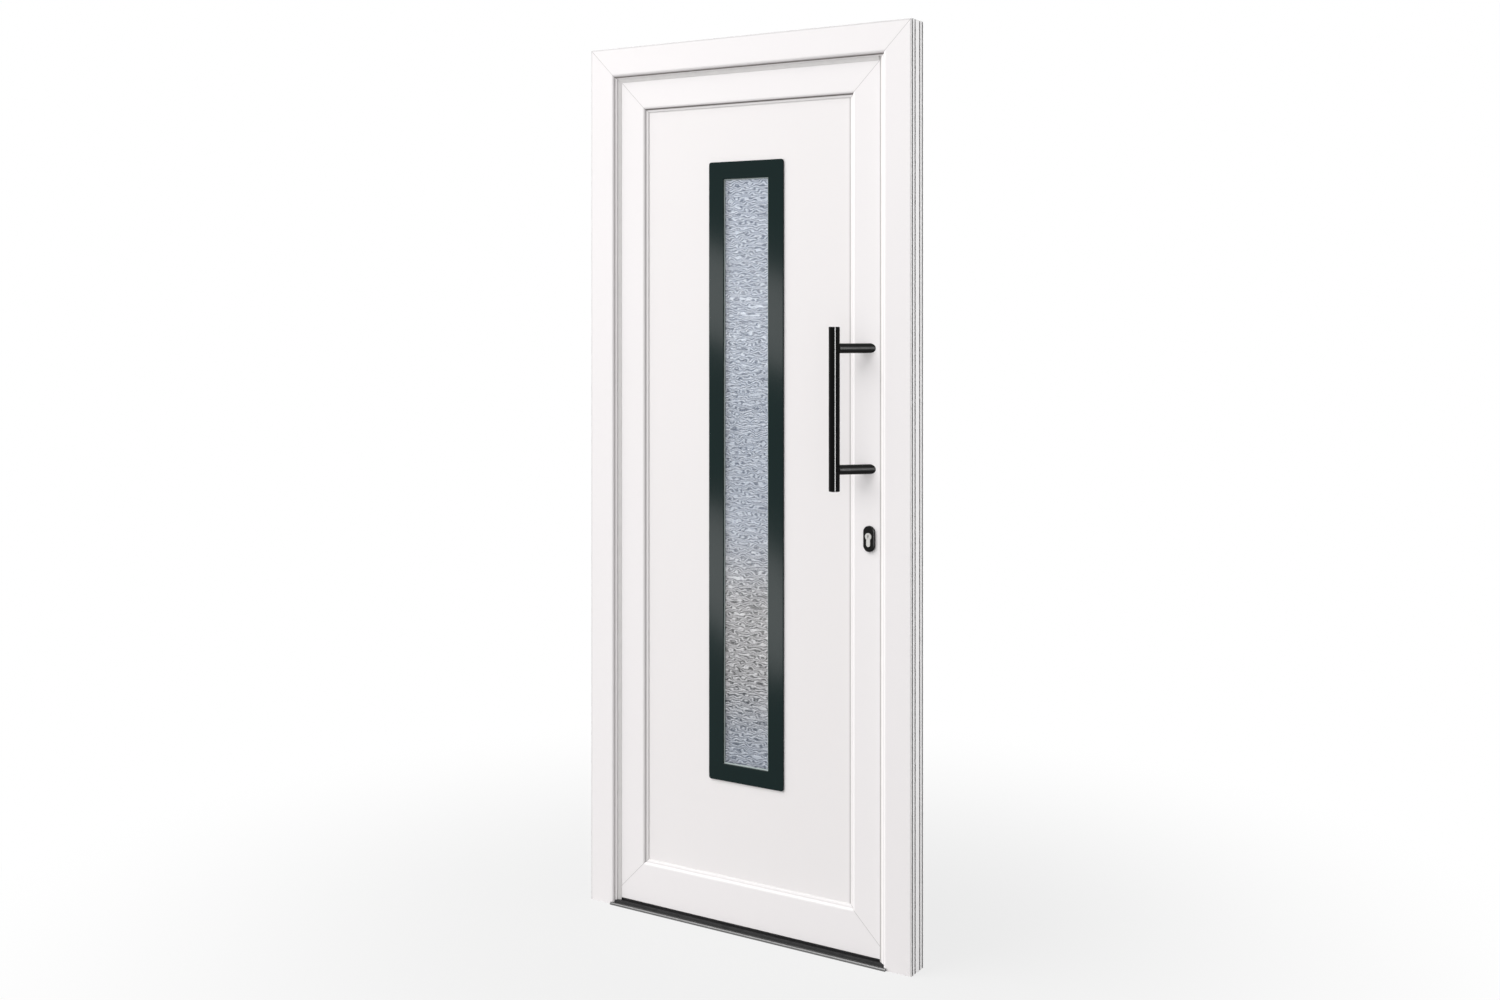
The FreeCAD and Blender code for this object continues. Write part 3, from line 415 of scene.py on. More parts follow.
def make_rim_shade():
    """Painted shade: 1 at the outer rim |X| = Half or Z = Top, fading over Reach."""
    effect, takes, gives = new_effect(
        "rim_shade", {"Half": 0.44, "Top": 2.1, "Reach": 0.003}, ["RimShade"]
    )
    nearest = inside_rim(effect, object_parts(effect), takes)
    effect.links.new(ramp(effect, nearest, 0.0, takes["Reach"], 1.0, 0.0), gives["RimShade"])
    return effect


def make_groove_shade():
    """Painted shade: 1 in the grooves of the wall side, and a share on its face along each
    groove's edges.
    """
    effect, takes, gives = new_effect(
        "groove_shade",
        {"Half": 0.44, "Top": 2.1, "Deep": 0.005, "Face": 0.028, "Outer": 0.0245,
         "Inner": 0.0115, "Reach": 0.0042, "EdgeShade": 0.5},
        ["GrooveShade"],
    )
    parts = object_parts(effect)
    nearest = inside_rim(effect, parts, takes)
    shallow = reckon(effect, "LESS_THAN", nearest, takes["Deep"])
    fade = ramp(effect, nearest, SKIN_DEPTH, GROOVE_DARK_FROM, 0.0, 1.0, smooth=False)
    depth = reckon(effect, "ABSOLUTE", parts["Y"])
    between = reckon(effect, "LESS_THAN", depth, takes["Face"])
    inside = reckon(effect, "MULTIPLY", reckon(effect, "MULTIPLY", shallow, between), fade)
    to_outer = reckon(effect, "ABSOLUTE", reckon(effect, "SUBTRACT", depth, takes["Outer"]))
    to_inner = reckon(effect, "ABSOLUTE", reckon(effect, "SUBTRACT", depth, takes["Inner"]))
    to_edge = reckon(effect, "MINIMUM", to_outer, to_inner)
    half_reach = reckon(effect, "MULTIPLY", takes["Reach"], 0.5)
    beside = ramp(effect, to_edge, half_reach, takes["Reach"], takes["EdgeShade"], 0.0)
    on_face = reckon(effect, "LESS_THAN", nearest, SKIN_DEPTH)
    edge_shade = reckon(effect, "MULTIPLY", beside, on_face)
    effect.links.new(reckon(effect, "MAXIMUM", inside, edge_shade), gives["GrooveShade"])
    return effect


weld_seams = make_weld_seams()
rim_shade = make_rim_shade()
groove_shade = make_groove_shade()
print("effects", [group.name for group in bpy.data.node_groups])

# %% [markdown]
# One mask paints shade into the crease beside the round nose of a bevel. The painted shade is
# strongest along the top, where the shadow falls on it too, so the mask has one share for the
# top, one for the left side and one for what is left.

# %% Painted shade in the creases
OUTDOORS_FROM = -5.0 * MM


def make_crease_shade():
    """A painted shade line at |X| = Half, Z = Top and Z = Foot on the outdoor side, over Width.

    It is 1 along the top, Beside on the left side, and Below on the right side and the foot.
    """
    effect, takes, gives = new_effect(
        "crease_shade",
        {"Half": 0.37, "Top": 2.03, "Foot": FAR_DOWN, "Width": 0.002, "Beside": 0.33,
         "Below": 0.21},
        ["CreaseShade"],
    )
    parts = object_parts(effect)
    across = reckon(effect, "ABSOLUTE", parts["X"])
    beyond_side = reckon(effect, "SUBTRACT", across, takes["Half"])
    beyond_top = reckon(effect, "SUBTRACT", parts["Z"], takes["Top"])
    below_foot = reckon(effect, "SUBTRACT", takes["Foot"], parts["Z"])
    furthest = reckon(effect, "MAXIMUM", beyond_side, beyond_top)
    beyond = reckon(effect, "ABSOLUTE", reckon(effect, "MAXIMUM", furthest, below_foot))
    at_top = reckon(effect, "GREATER_THAN", beyond_top, beyond_side)
    at_left = reckon(effect, "LESS_THAN", parts["X"], 0.0)
    off_foot = reckon(effect, "LESS_THAN", below_foot, beyond_side)
    at_left = reckon(effect, "MULTIPLY", at_left, off_foot)
    stronger = reckon(effect, "SUBTRACT", takes["Beside"], takes["Below"])
    share = reckon(effect, "MULTIPLY_ADD", at_left, stronger, takes["Below"])
    share = reckon(effect, "MAXIMUM", share, at_top)
    line = ramp(effect, beyond, 0.0, takes["Width"], 1.0, 0.0)
    outdoors = reckon(effect, "LESS_THAN", parts["Y"], OUTDOORS_FROM)
    shaded = reckon(effect, "MULTIPLY", line, share)
    effect.links.new(reckon(effect, "MULTIPLY", shaded, outdoors), gives["CreaseShade"])
    return effect


crease_shade = make_crease_shade()
print(crease_shade.name, "takes", [item.name for item in crease_shade.interface.items_tree])

# %% [markdown]
# More helpers turn those effects into what a shader takes. `shade_with` makes a colour darker
# by a mask, and `clouded` does so with the slow drift of tone. `tint_towards` mixes a colour
# towards a second one. `bump_from` chains bumps: each one starts from the one before it.
# `spread` fits the middle range of a noise between two values.

# %% Helpers for colour and bump
NOISE_LOW, NOISE_HIGH = 0.3, 0.7


def mix_colour(tree, way, share, first, second):
    """The colour output of a Mix node. Share and both colours are values or outputs."""
    feeds = {0: share, 6: first, 7: second}
    return place(tree, "ShaderNodeMix", feeds, data_type="RGBA", blend_type=way).outputs[2]


def grey_of(tree, value):
    """A grey colour from a value between 0 and 1."""
    feeds = {"Red": value, "Green": value, "Blue": value}
    return place(tree, "ShaderNodeCombineColor", feeds).outputs["Color"]


def shade_with(tree, colour, mask):
    """A colour made darker by a mask between 0 and 1."""
    return mix_colour(tree, "MULTIPLY", 1.0, colour, grey_of(tree, mask))


def tint_towards(tree, colour, share, second):
    """A colour mixed towards a second one."""
    return mix_colour(tree, "MIX", share, colour, second)


def clouded(tree, colour, scale, strength):
    """A colour with a slow drift of tone."""
    drift = use_effect(tree, tone_drift, "Shade", Scale=scale, Strength=strength)
    return shade_with(tree, colour, drift)


def bump_from(tree, height, depth, strength, before=None):
    """A Bump node of that depth in metres, on top of the bump before it."""
    feeds = {"Height": height, "Distance": depth, "Strength": strength}
    if before is not None:
        feeds["Normal"] = before
    return place(tree, "ShaderNodeBump", feeds).outputs["Normal"]


def spread(tree, value, low, high):
    """A noise spread from low to high."""
    return ramp(tree, value, NOISE_LOW, NOISE_HIGH, low, high, smooth=False)


print("colour and bump helpers ready")

# %% [markdown]
# White window plastic is extruded: it is smooth and satin, with lines along the profile that
# only a low light shows. Where two lengths meet, their cut ends are melted together and the
# bead is trimmed off, which leaves a thin grey groove at 45 degrees. Uprights and bars are
# pulled in different directions, so each gets its own copy of the finish.

# %% White plastic profiles
PVC_WHITE = (0.895, 0.872, 0.878, 1.0)
SEAM_GREY = (0.40, 0.39, 0.385, 1.0)
RIM_SHADE_GREY = (0.50, 0.495, 0.495, 1.0)
GROOVE_SHADE_GREY = (0.05, 0.049, 0.048, 1.0)
CREASE_SHADE_GREY = (0.12, 0.103, 0.096, 1.0)
SEAM_WIDE, SEAM_SHARE = 1.4 * MM, 0.8
RIM_WIDE, RIM_SHARE = 5.0 * MM, 0.8
CREASE_WIDE = 3.2 * MM
FRAME_CREASE = 70.0 * MM
FRAME_CREASE_DROP = 1.5 * MM
LEAF_CREASE = 99.0 * MM
ALONG_Z = (420.0, 420.0, 1.4)
ALONG_X = (1.4, 420.0, 420.0)
HEAD_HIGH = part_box("frame_head")[1]
RAIL_LOW, RAIL_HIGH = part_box("leaf_bottom_rail")
TOP_SEAM = HEAD_HIGH.z - HEAD_HIGH.x
FOOT_SEAM = RAIL_LOW.z + RAIL_HIGH.x
LEAF_TOP = TOP_SEAM + RAIL_HIGH.x


def make_plastic(name, along, crease, foot_seam=FAR_DOWN, on_frame=False):
    """White plastic: pulled lines, mitre seams, painted crease shade, on the frame rim and
    groove shade.
    """
    material, tree, shader = new_finish(name, Specular_IOR_Level=0.35)
    colour = clouded(tree, PVC_WHITE, 1.7, 0.03)
    mark = use_effect(tree, weld_seams, "Seam", Top=TOP_SEAM, Foot=foot_seam, Width=SEAM_WIDE)
    colour = tint_towards(tree, colour, reckon(tree, "MULTIPLY", mark, SEAM_SHARE), SEAM_GREY)
    # Painted shade in the bevel's crease, strongest under the top.
    shade_mask = use_effect(tree, crease_shade, "CreaseShade", Width=CREASE_WIDE, **crease)
    colour = tint_towards(tree, colour, shade_mask, CREASE_SHADE_GREY)
    if on_frame:
        outline = {"Half": HEAD_HIGH.x, "Top": HEAD_HIGH.z}
        # Painted shade along the frame's outer rim.
        edge = use_effect(tree, rim_shade, "RimShade", Reach=RIM_WIDE, **outline)
        colour = tint_towards(tree, colour, reckon(tree, "MULTIPLY", edge, RIM_SHARE), RIM_SHADE_GREY)
        # Painted shade in the wall grooves and along their edges.
        groove_shade_mask = use_effect(tree, groove_shade, "GrooveShade", **outline)
        colour = tint_towards(tree, colour, groove_shade_mask, GROOVE_SHADE_GREY)
    lines = use_effect(tree, pulled_lines, "Height", Stretch=along)
    bump = bump_from(tree, lines, 0.02 * MM, 0.35)
    bump = bump_from(tree, reckon(tree, "SUBTRACT", 1.0, mark), 0.2 * MM, 0.6, before=bump)
    rough = spread(tree, lines, 0.36, 0.46)
    feed_shader(tree, shader, Base_Color=colour, Roughness=rough, Normal=bump)
    return material


frame_crease = {
    "Half": HEAD_HIGH.x - FRAME_CREASE, "Foot": FAR_DOWN,
    "Top": HEAD_HIGH.z - FRAME_CREASE - FRAME_CREASE_DROP,
}
leaf_crease = {
    "Half": RAIL_HIGH.x - LEAF_CREASE, "Foot": RAIL_LOW.z + LEAF_CREASE,
    "Top": LEAF_TOP - LEAF_CREASE,
}
dress(
    make_plastic("frame_plastic_upright", ALONG_Z, frame_crease, on_frame=True),
    "frame_hinge_jamb", "frame_lock_jamb",
)
dress(make_plastic("frame_plastic_bar", ALONG_X, frame_crease, on_frame=True), "frame_head")
dress(
    make_plastic("leaf_plastic_upright", ALONG_Z, leaf_crease, foot_seam=FOOT_SEAM),
    "leaf_hinge_stile", "leaf_lock_stile", "bead_hinge_side", "bead_lock_side",
)
dress(
    make_plastic("leaf_plastic_bar", ALONG_X, leaf_crease, foot_seam=FOOT_SEAM),
    "leaf_top_rail", "leaf_bottom_rail", "bead_top", "bead_bottom",
)

# %% [markdown]
# The infill panel is a flat sandwich with a thin plastic skin. A skin is never as true as an
# extrusion: it has a very slight, slow waviness and a fine even grain from the press. A painted
# shade line lies on it, along the seal on the lock side.

# %% Door panel
SKIN_WHITE = (0.88, 0.856, 0.858, 1.0)
PANEL_SEAL_SHOWS = 1.2 * MM
SHADE_LINE_WIDE = 5.0 * MM
SHADE_LINE_STEP = 1.5 * MM
PANEL_SHADE_LINE, LIP_SHADE_LINE = 0.42, 0.63


def shade_line_beside(tree, colour, half, share):
    """The colour with a painted shade line, upright on the lock side, at half from the middle.
    """
    shade_mask = use_effect(
        tree, crease_shade, "CreaseShade",
        Half=half, Top=FAR_UP, Foot=FAR_DOWN, Width=SHADE_LINE_WIDE, Beside=0.0, Below=share,
    )
    return tint_towards(tree, colour, shade_mask, CREASE_SHADE_GREY)


def make_panel_skin():
    """Pressed white skin with a soft waviness."""
    material, tree, shader = new_finish("panel_skin", Specular_IOR_Level=0.3)
    colour = clouded(tree, SKIN_WHITE, 1.1, 0.035)
    seal_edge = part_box("leaf_lock_stile")[0].x - PANEL_SEAL_SHOWS
    # A painted shade line beside the seal on the lock side.
    colour = shade_line_beside(tree, colour, seal_edge - SHADE_LINE_STEP, PANEL_SHADE_LINE)
    grain = use_effect(tree, fine_grain, "Height", Scale=1400.0)
    wave = use_effect(tree, fine_grain, "Height", Scale=9.0)
    bump = bump_from(tree, wave, 0.25 * MM, 0.25)
    bump = bump_from(tree, grain, 0.01 * MM, 0.3, before=bump)
    rough = spread(tree, grain, 0.40, 0.50)
    feed_shader(tree, shader, Base_Color=colour, Roughness=rough, Normal=bump)
    return material


dress(make_panel_skin(), "door_panel")

# %% [markdown]
# Rubber seals fill the gaps between leaf, frame, panel and threshold. Only their edges show, so
# a matt pale rubber with a fine grain and a little bloom is enough. The strip under the leaf is
# black.

# %% Rubber seals
def make_rubber(name, tone, shade_line_half=None):
    """Matt rubber with fine grain, a bloom in patches and, if asked, a painted shade line."""
    material, tree, shader = new_finish(name, Specular_IOR_Level=0.3)
    colour = clouded(tree, (*tone, 1.0), 45.0, 0.12)
    # A painted shade line on the lock side.
    if shade_line_half is not None:
        colour = shade_line_beside(tree, colour, shade_line_half, LIP_SHADE_LINE)
    grain = use_effect(tree, fine_grain, "Height", Scale=2500.0)
    feed_shader(
        tree, shader, Base_Color=colour, Roughness=spread(tree, grain, 0.62, 0.8),
        Normal=bump_from(tree, grain, 0.03 * MM, 0.6),
    )
    return material


dress(
    make_rubber("pale_seal_rubber", (0.84, 0.825, 0.82)),
    "frame_seal", "leaf_overlap_seal", "panel_seal_outside", "panel_seal_inside",
)
dress(make_rubber("black_strip_rubber", (0.03, 0.03, 0.031)), "leaf_bottom_seal")

# %% [markdown]
# The frame's seal ends in a thin pale lip that slopes from the frame's bevel down to the closed
# leaf, and covers the gap between them. It stays on the frame and only rests near the leaf, so
# the leaf leaves it behind when it opens.
#
# We draw the lip's two long edges, each up one jamb, across the head and down the other jamb:
# an outer one on the frame and an inner one over the leaf. Bridging them gives a sloping strip
# that is mitred at its corners, and Solidify gives it its thickness.

# %% Weather lip of the frame
LIP_OUTER = 74.6 * MM
LIP_INNER = 84.0 * MM
LIP_START_Y = -22.0 * MM
LIP_END_Y = -17.0 * MM
LIP_THICK = 0.35 * MM
LIP_WHITE = (0.90, 0.88, 0.875)
THRESHOLD_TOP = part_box("threshold_base")[1].z


def stand_piece(name, shape, body):
    """Makes a finished piece from a bmesh and says which body it rides."""
    piece = put_in_scene(name, shape)
    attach(piece, body)
    print(name, len(piece.data.polygons), "faces on", body)
    return piece


def build_weather_lip():
    """A three-sided sloping strip, open at the threshold."""
    shape = bmesh.new()
    rows = []
    for inset, y in ((LIP_OUTER, LIP_START_Y), (LIP_INNER, LIP_END_Y)):
        half, top = HEAD_HIGH.x - inset, HEAD_HIGH.z - inset
        path = ((-half, THRESHOLD_TOP), (-half, top), (half, top), (half, THRESHOLD_TOP))
        points = [shape.verts.new((x, y, z)) for x, z in path]
        rows.append([shape.edges.new(pair) for pair in zip(points, points[1:])])
    bmesh.ops.bridge_loops(shape, edges=rows[0] + rows[1])
    bmesh.ops.recalc_face_normals(shape, faces=shape.faces)
    if sum(face.normal.y for face in shape.faces) > 0.0:
        bmesh.ops.reverse_faces(shape, faces=shape.faces)
    bmesh.ops.solidify(shape, geom=shape.faces[:], thickness=LIP_THICK)
    bmesh.ops.recalc_face_normals(shape, faces=shape.faces)
    return stand_piece("weather_lip", shape, "door_frame")


# Where the painted shade line lies on the lip, on the lock side.
lip_shade_line_half = HEAD_HIGH.x - LIP_INNER + SHADE_LINE_STEP
build_weather_lip().data.materials.append(
    make_rubber("pale_lip_rubber", LIP_WHITE, shade_line_half=lip_shade_line_half)
)

# %% [markdown]
# The threshold is a grey anodised metal base that carries a black ribbed insert. Both are
# extruded, so their marks run across the door.

# %% Threshold
INSERT_BLACK = (0.014, 0.014, 0.015, 1.0)
INSERT_SCUFFED = (0.045, 0.045, 0.045, 1.0)


def make_anodised():
    """Grey anodised metal with lines along the extrusion."""
    material, tree, shader = new_finish("anodised_threshold", Metallic=1.0)
    lines = use_effect(tree, pulled_lines, "Height", Stretch=(3.0, 900.0, 900.0))
    feed_shader(
        tree, shader, Base_Color=grey_of(tree, spread(tree, lines, 0.15, 0.19)),
        Roughness=spread(tree, lines, 0.38, 0.52),
        Normal=bump_from(tree, lines, 0.02 * MM, 0.5),
    )
    return material


def make_insert_plastic():
    """Black ribbed plastic with scuffs where people step."""
    material, tree, shader = new_finish("black_insert", Specular_IOR_Level=0.2)
    scuff = use_effect(tree, fine_grain, "Height", Scale=60.0)
    colour = tint_towards(tree, INSERT_BLACK, spread(tree, scuff, 0.0, 0.3), INSERT_SCUFFED)
    grain = use_effect(tree, fine_grain, "Height", Scale=1800.0)
    feed_shader(
        tree, shader, Base_Color=colour, Roughness=spread(tree, grain, 0.42, 0.6),
        Normal=bump_from(tree, grain, 0.02 * MM, 0.5),
    )
    return material


dress(make_anodised(), "threshold_base")
dress(make_insert_plastic(), "threshold_insert")

# %% [markdown]
# The window trim is a flat dark surround, nearly black with a hint of teal. It is satin, so a
# bright part of the studio shows in it only as a soft grey patch.

# %% Window trim
TRIM_TEAL = (0.0012, 0.0125, 0.0122, 1.0)


def make_trim_coat():
    """Dark teal satin coat with a very fine grain."""
    material, tree, shader = new_finish("dark_trim_coat", Specular_IOR_Level=0.16)
    grain = use_effect(tree, fine_grain, "Height", Scale=2200.0)
    feed_shader(
        tree, shader, Base_Color=clouded(tree, TRIM_TEAL, 6.0, 0.2),
        Roughness=spread(tree, grain, 0.11, 0.16),
        Normal=bump_from(tree, grain, 0.004 * MM, 0.2),
    )
    return material


dress(make_trim_coat(), "window_trim_outside", "window_trim_inside")

# %% [markdown]
# The outer pane is patterned glass: while hot, it was rolled on one side, which left a fine
# relief of short wrinkles. A bump alone would stay flat in the pane's outline and shadows, so
# the relief is real. We start from a grid, press each point in by a noise that is stretched and
# bent into wrinkles, and give the sheet its thickness by extruding its rim.
#
# How deep each point is pressed is also kept as an attribute, so the finish can paint shade
# into the valleys and a highlight onto the crests.

# %% Patterned outer pane
PANE_LOW, PANE_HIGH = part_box("glass_outside")
RELIEF_DEPTH = 0.45 * MM
STEP_ACROSS = 2.2 * MM
STEP_UP = 1.15 * MM
WRINKLE_PITCH = 5.6 * MM
BEND_ACROSS = 18.0 * MM
BEND_UP = 9.0 * MM
WRINKLE_BEND = 1.6
BROKEN_LEAST, BROKEN_SWING, BROKEN_SCALE = 0.38, 0.9, 1.7
FINE_SWING, FINE_SCALE = 0.3, 4.3
BROKEN_SHIFT = Vector((7.1, 3.3, 0.0))
FINE_SHIFT = Vector((1.7, 9.2, 4.0))
PLAIN_SIDE = 0.6
FLAT_ENOUGH = 0.6


def wrinkle_at(x, z):
    """Relief between 0 (deepest) and 1: level waves, bent and broken into short wrinkles."""
    spot = Vector((x / BEND_ACROSS, z / BEND_UP, 0.0))
    bend = WRINKLE_BEND * noise.noise(spot)
    wave = cos(2.0 * pi * (z / WRINKLE_PITCH + bend))
    broken = BROKEN_LEAST + BROKEN_SWING * abs(noise.noise(spot * BROKEN_SCALE + BROKEN_SHIFT))
    fine = FINE_SWING * noise.noise(spot * FINE_SCALE + FINE_SHIFT)
    return min(1.0, max(0.0, 0.5 + wave * broken + fine))


def build_pane():
    """The patterned pane, in the place and size of its solid."""
    width = PANE_HIGH.x - PANE_LOW.x
    height = PANE_HIGH.z - PANE_LOW.z
    shape = bmesh.new()
    columns, rows = int(width / STEP_ACROSS), int(height / STEP_UP)
    bmesh.ops.create_grid(
        shape, x_segments=columns, y_segments=rows, size=0.5,
        matrix=Matrix.Diagonal((width, height, 1.0, 1.0)),
    )
    bmesh.ops.rotate(shape, verts=shape.verts, matrix=Matrix.Rotation(radians(90), 3, "X"))
    middle = (PANE_LOW + PANE_HIGH) / 2
    bmesh.ops.translate(shape, verts=shape.verts, vec=(middle.x, PANE_LOW.y, middle.z))
    relief = shape.verts.layers.float.new("relief")
    for point in shape.verts:
        raised = wrinkle_at(point.co.x, point.co.z)
        point[relief] = raised
        if not point.is_boundary:
            point.co.y += RELIEF_DEPTH * (1.0 - raised)
    rim = [edge for edge in shape.edges if edge.is_boundary]
    grown = bmesh.ops.extrude_edge_only(shape, edges=rim)["geom"]
    back = [part for part in grown if isinstance(part, bmesh.types.BMVert)]
    for point in back:
        point[relief] = PLAIN_SIDE
    bmesh.ops.translate(shape, verts=back, vec=(0.0, PANE_HIGH.y - PANE_LOW.y, 0.0))
    bmesh.ops.contextual_create(
        shape, geom=[part for part in grown if isinstance(part, bmesh.types.BMEdge)]
    )
    bmesh.ops.recalc_face_normals(shape, faces=shape.faces)
    for face in shape.faces:
        face.smooth = abs(face.normal.y) > FLAT_ENOUGH and len(face.verts) == 4
    print("patterned pane", columns, "by", rows, "steps")
    return stand_piece("patterned_pane", shape, "leaf")


pane = build_pane()
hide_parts("glass_outside")

# %% [markdown]
# Glass is a shader that lets light through. The tint sits in its colour. The valleys of the
# relief get painted shade and the crests a painted highlight, a band below the middle gets a
# grey painted reflection mixed in by a mask over the height, and the foot gets painted shade.
# The inner pane and the bar between the panes are plain.

# %% Glass and spacer
GREY_BAND = 680.0 * MM
GREY_BAND_REACH = 300.0 * MM
GREY_BAND_CORE = 0.2
VALLEY_BLUE, VALLEY_GREY = (0.17, 0.20, 0.27, 1.0), (0.02, 0.02, 0.022, 1.0)
CREST_BLUE, CREST_GREY = (0.82, 0.88, 0.99, 1.0), (0.96, 0.95, 0.98, 1.0)
FOOT_SHADE = 0.78
SHEET_GREEN = (0.90, 0.94, 0.925, 1.0)


def make_patterned_glass():
    """Pale blue grey glass with painted shade and highlight on its relief, a painted reflection
    band and painted shade towards its foot.
    """
    material, tree, shader = new_finish(
        "patterned_glass", Transmission_Weight=0.5, IOR=1.5, Roughness=0.16
    )
    relief = place(tree, "ShaderNodeAttribute", attribute_name="relief").outputs["Fac"]
    height = object_parts(tree)["Z"]
    # A band of painted reflection below the middle, grey and contrasty.
    from_band = reckon(tree, "ABSOLUTE", reckon(tree, "SUBTRACT", height, GREY_BAND))
    core = GREY_BAND_CORE * GREY_BAND_REACH
    reflected_band = ramp(tree, from_band, core, GREY_BAND_REACH, 1.0, 0.0)
    # Painted shade in the valleys and painted highlight on the crests.
    valley = tint_towards(tree, VALLEY_BLUE, reflected_band, VALLEY_GREY)
    crest = tint_towards(tree, CREST_BLUE, reflected_band, CREST_GREY)
    colour = clouded(tree, tint_towards(tree, valley, relief, crest), 3.0, 0.12)
    # Painted shade, darker towards the pane's foot.
    foot_darkening = ramp(tree, height, PANE_LOW.z, PANE_HIGH.z, FOOT_SHADE, 1.0, smooth=False)
    ripple = use_effect(tree, fine_grain, "Height", Scale=420.0)
    feed_shader(
        tree, shader, Base_Color=shade_with(tree, colour, foot_darkening),
        Normal=bump_from(tree, ripple, 0.15 * MM, 0.5),
    )
    return material


def make_clear_glass():
    """Clear float glass, with the faint green of a thick sheet and a few wipe marks."""
    material, tree, shader = new_finish("clear_glass", Transmission_Weight=1.0, IOR=1.5)
    wipe = use_effect(tree, pulled_lines, "Height", Stretch=(14.0, 14.0, 3.0))
    feed_shader(
        tree, shader, Base_Color=clouded(tree, SHEET_GREEN, 4.0, 0.04),
        Roughness=spread(tree, wipe, 0.015, 0.05),
    )
    return material


def make_spacer_metal():
    """Mill finish metal with an even grain."""
    material, tree, shader = new_finish("spacer_metal", Metallic=1.0)
    lines = use_effect(tree, pulled_lines, "Height", Stretch=(700.0, 700.0, 700.0))
    feed_shader(
        tree, shader, Base_Color=grey_of(tree, spread(tree, lines, 0.5, 0.62)),
        Roughness=spread(tree, lines, 0.35, 0.5),
    )
    return material


pane.data.materials.append(make_patterned_glass())
window_group.objects.link(pane)
dress(make_clear_glass(), "glass_inside")
dress(make_spacer_metal(), "glass_spacer")

# %% [markdown]
# Where the pane meets the trim, the glazier leaves a thin bead of clear silicone. We inset the
# opening's rectangle, which leaves a ring, pull the ring up from the pane, and round its inner
# edge with a bevel. An inset of a lone face makes nothing unless its boundary is included.

# %% Silicone bead round the pane
TRIM_LOW, TRIM_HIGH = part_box("window_trim_outside")
TRIM_BAR = 41.0 * MM
BEAD_WIDE = 2.4 * MM
BEAD_TALL = 1.6 * MM
BEAD_ROUND = 0.9 * MM


def build_silicone_bead():
    """A ring that fits the trim's opening and lies on the pane."""
    shape = bmesh.new()
    width = TRIM_HIGH.x - TRIM_LOW.x - 2.0 * TRIM_BAR
    height = TRIM_HIGH.z - TRIM_LOW.z - 2.0 * TRIM_BAR
    bmesh.ops.create_grid(
        shape, x_segments=1, y_segments=1, size=0.5,
        matrix=Matrix.Diagonal((width, height, 1.0, 1.0)),
    )
    ring = bmesh.ops.inset_region(
        shape, faces=shape.faces[:], thickness=BEAD_WIDE, use_boundary=True,
        use_even_offset=True,
    )["faces"]
    middle = [face for face in shape.faces if face not in ring]
    bmesh.ops.delete(shape, geom=middle, context="FACES")
    grown = bmesh.ops.extrude_face_region(
        shape, geom=shape.faces[:], use_keep_orig=True
    )["geom"]
    top = [part for part in grown if isinstance(part, bmesh.types.BMVert)]
    bmesh.ops.translate(shape, verts=top, vec=(0.0, 0.0, BEAD_TALL))
    half_wide = width / 2 - 0.5 * BEAD_WIDE
    half_tall = height / 2 - 0.5 * BEAD_WIDE
    soft = [
        edge for edge in shape.edges
        if all(point.co.z > 0.5 * BEAD_TALL and abs(point.co.x) < half_wide
               and abs(point.co.y) < half_tall for point in edge.verts)
    ]
    bmesh.ops.bevel(
        shape, geom=soft, offset=BEAD_ROUND, offset_type="OFFSET", segments=3, profile=0.5,
        affect="EDGES", material=-1,
    )
    bmesh.ops.rotate(shape, verts=shape.verts, matrix=Matrix.Rotation(radians(90), 3, "X"))
    centre = (TRIM_LOW + TRIM_HIGH) / 2
    bmesh.ops.translate(shape, verts=shape.verts, vec=(centre.x, PANE_LOW.y, centre.z))
    bmesh.ops.recalc_face_normals(shape, faces=shape.faces)
    return stand_piece("silicone_bead", shape, "leaf")


build_silicone_bead().data.materials.append(make_rubber("clear_silicone", (0.46, 0.53, 0.52)))

# %% [markdown]
# The handles are coated black, in two gloss levels. The bar is smooth and deep black, so it
# catches one thin line of light. Its posts, the lock covers and the inside lever are satin:
# their grain scatters the light, which makes them look dark grey. One function makes both
# coats, and leaves the grain out of the smooth one.

# %% Black handles
def make_black_coat(name, tone, gloss, rough, grain_share=0.0):
    """Black coat: tone is its darkness, rough its least roughness, grain_share its grain."""
    material, tree, shader = new_finish(name, Specular_IOR_Level=gloss)
    colour = clouded(tree, (tone, tone, tone, 1.0), 14.0, 0.3)
    grain = use_effect(tree, fine_grain, "Height", Scale=2600.0)
    rough_there = spread(tree, grain, rough, rough + 0.07)
    feed_shader(tree, shader, Base_Color=colour, Roughness=rough_there)
    if grain_share:
        feed_shader(tree, shader, Normal=bump_from(tree, grain, 0.012 * MM, grain_share))
    return material


dress(make_black_coat("smooth_black_coat", 0.001, 0.08, 0.06), "pull_bar")
dress(
    make_black_coat("satin_black_coat", 0.0095, 0.075, 0.3, grain_share=0.4),
    "pull_bar_lower_post", "pull_bar_upper_post", "escutcheon_outside", "escutcheon_inside",
    "lever_rose", "inside_lever",
)

# %% [markdown]
# The cylinder is satin nickel, and the bolts, faceplate and strike are zinc plated steel. Both
# are brushed: the same pulled lines, along X or Z, with different tones.

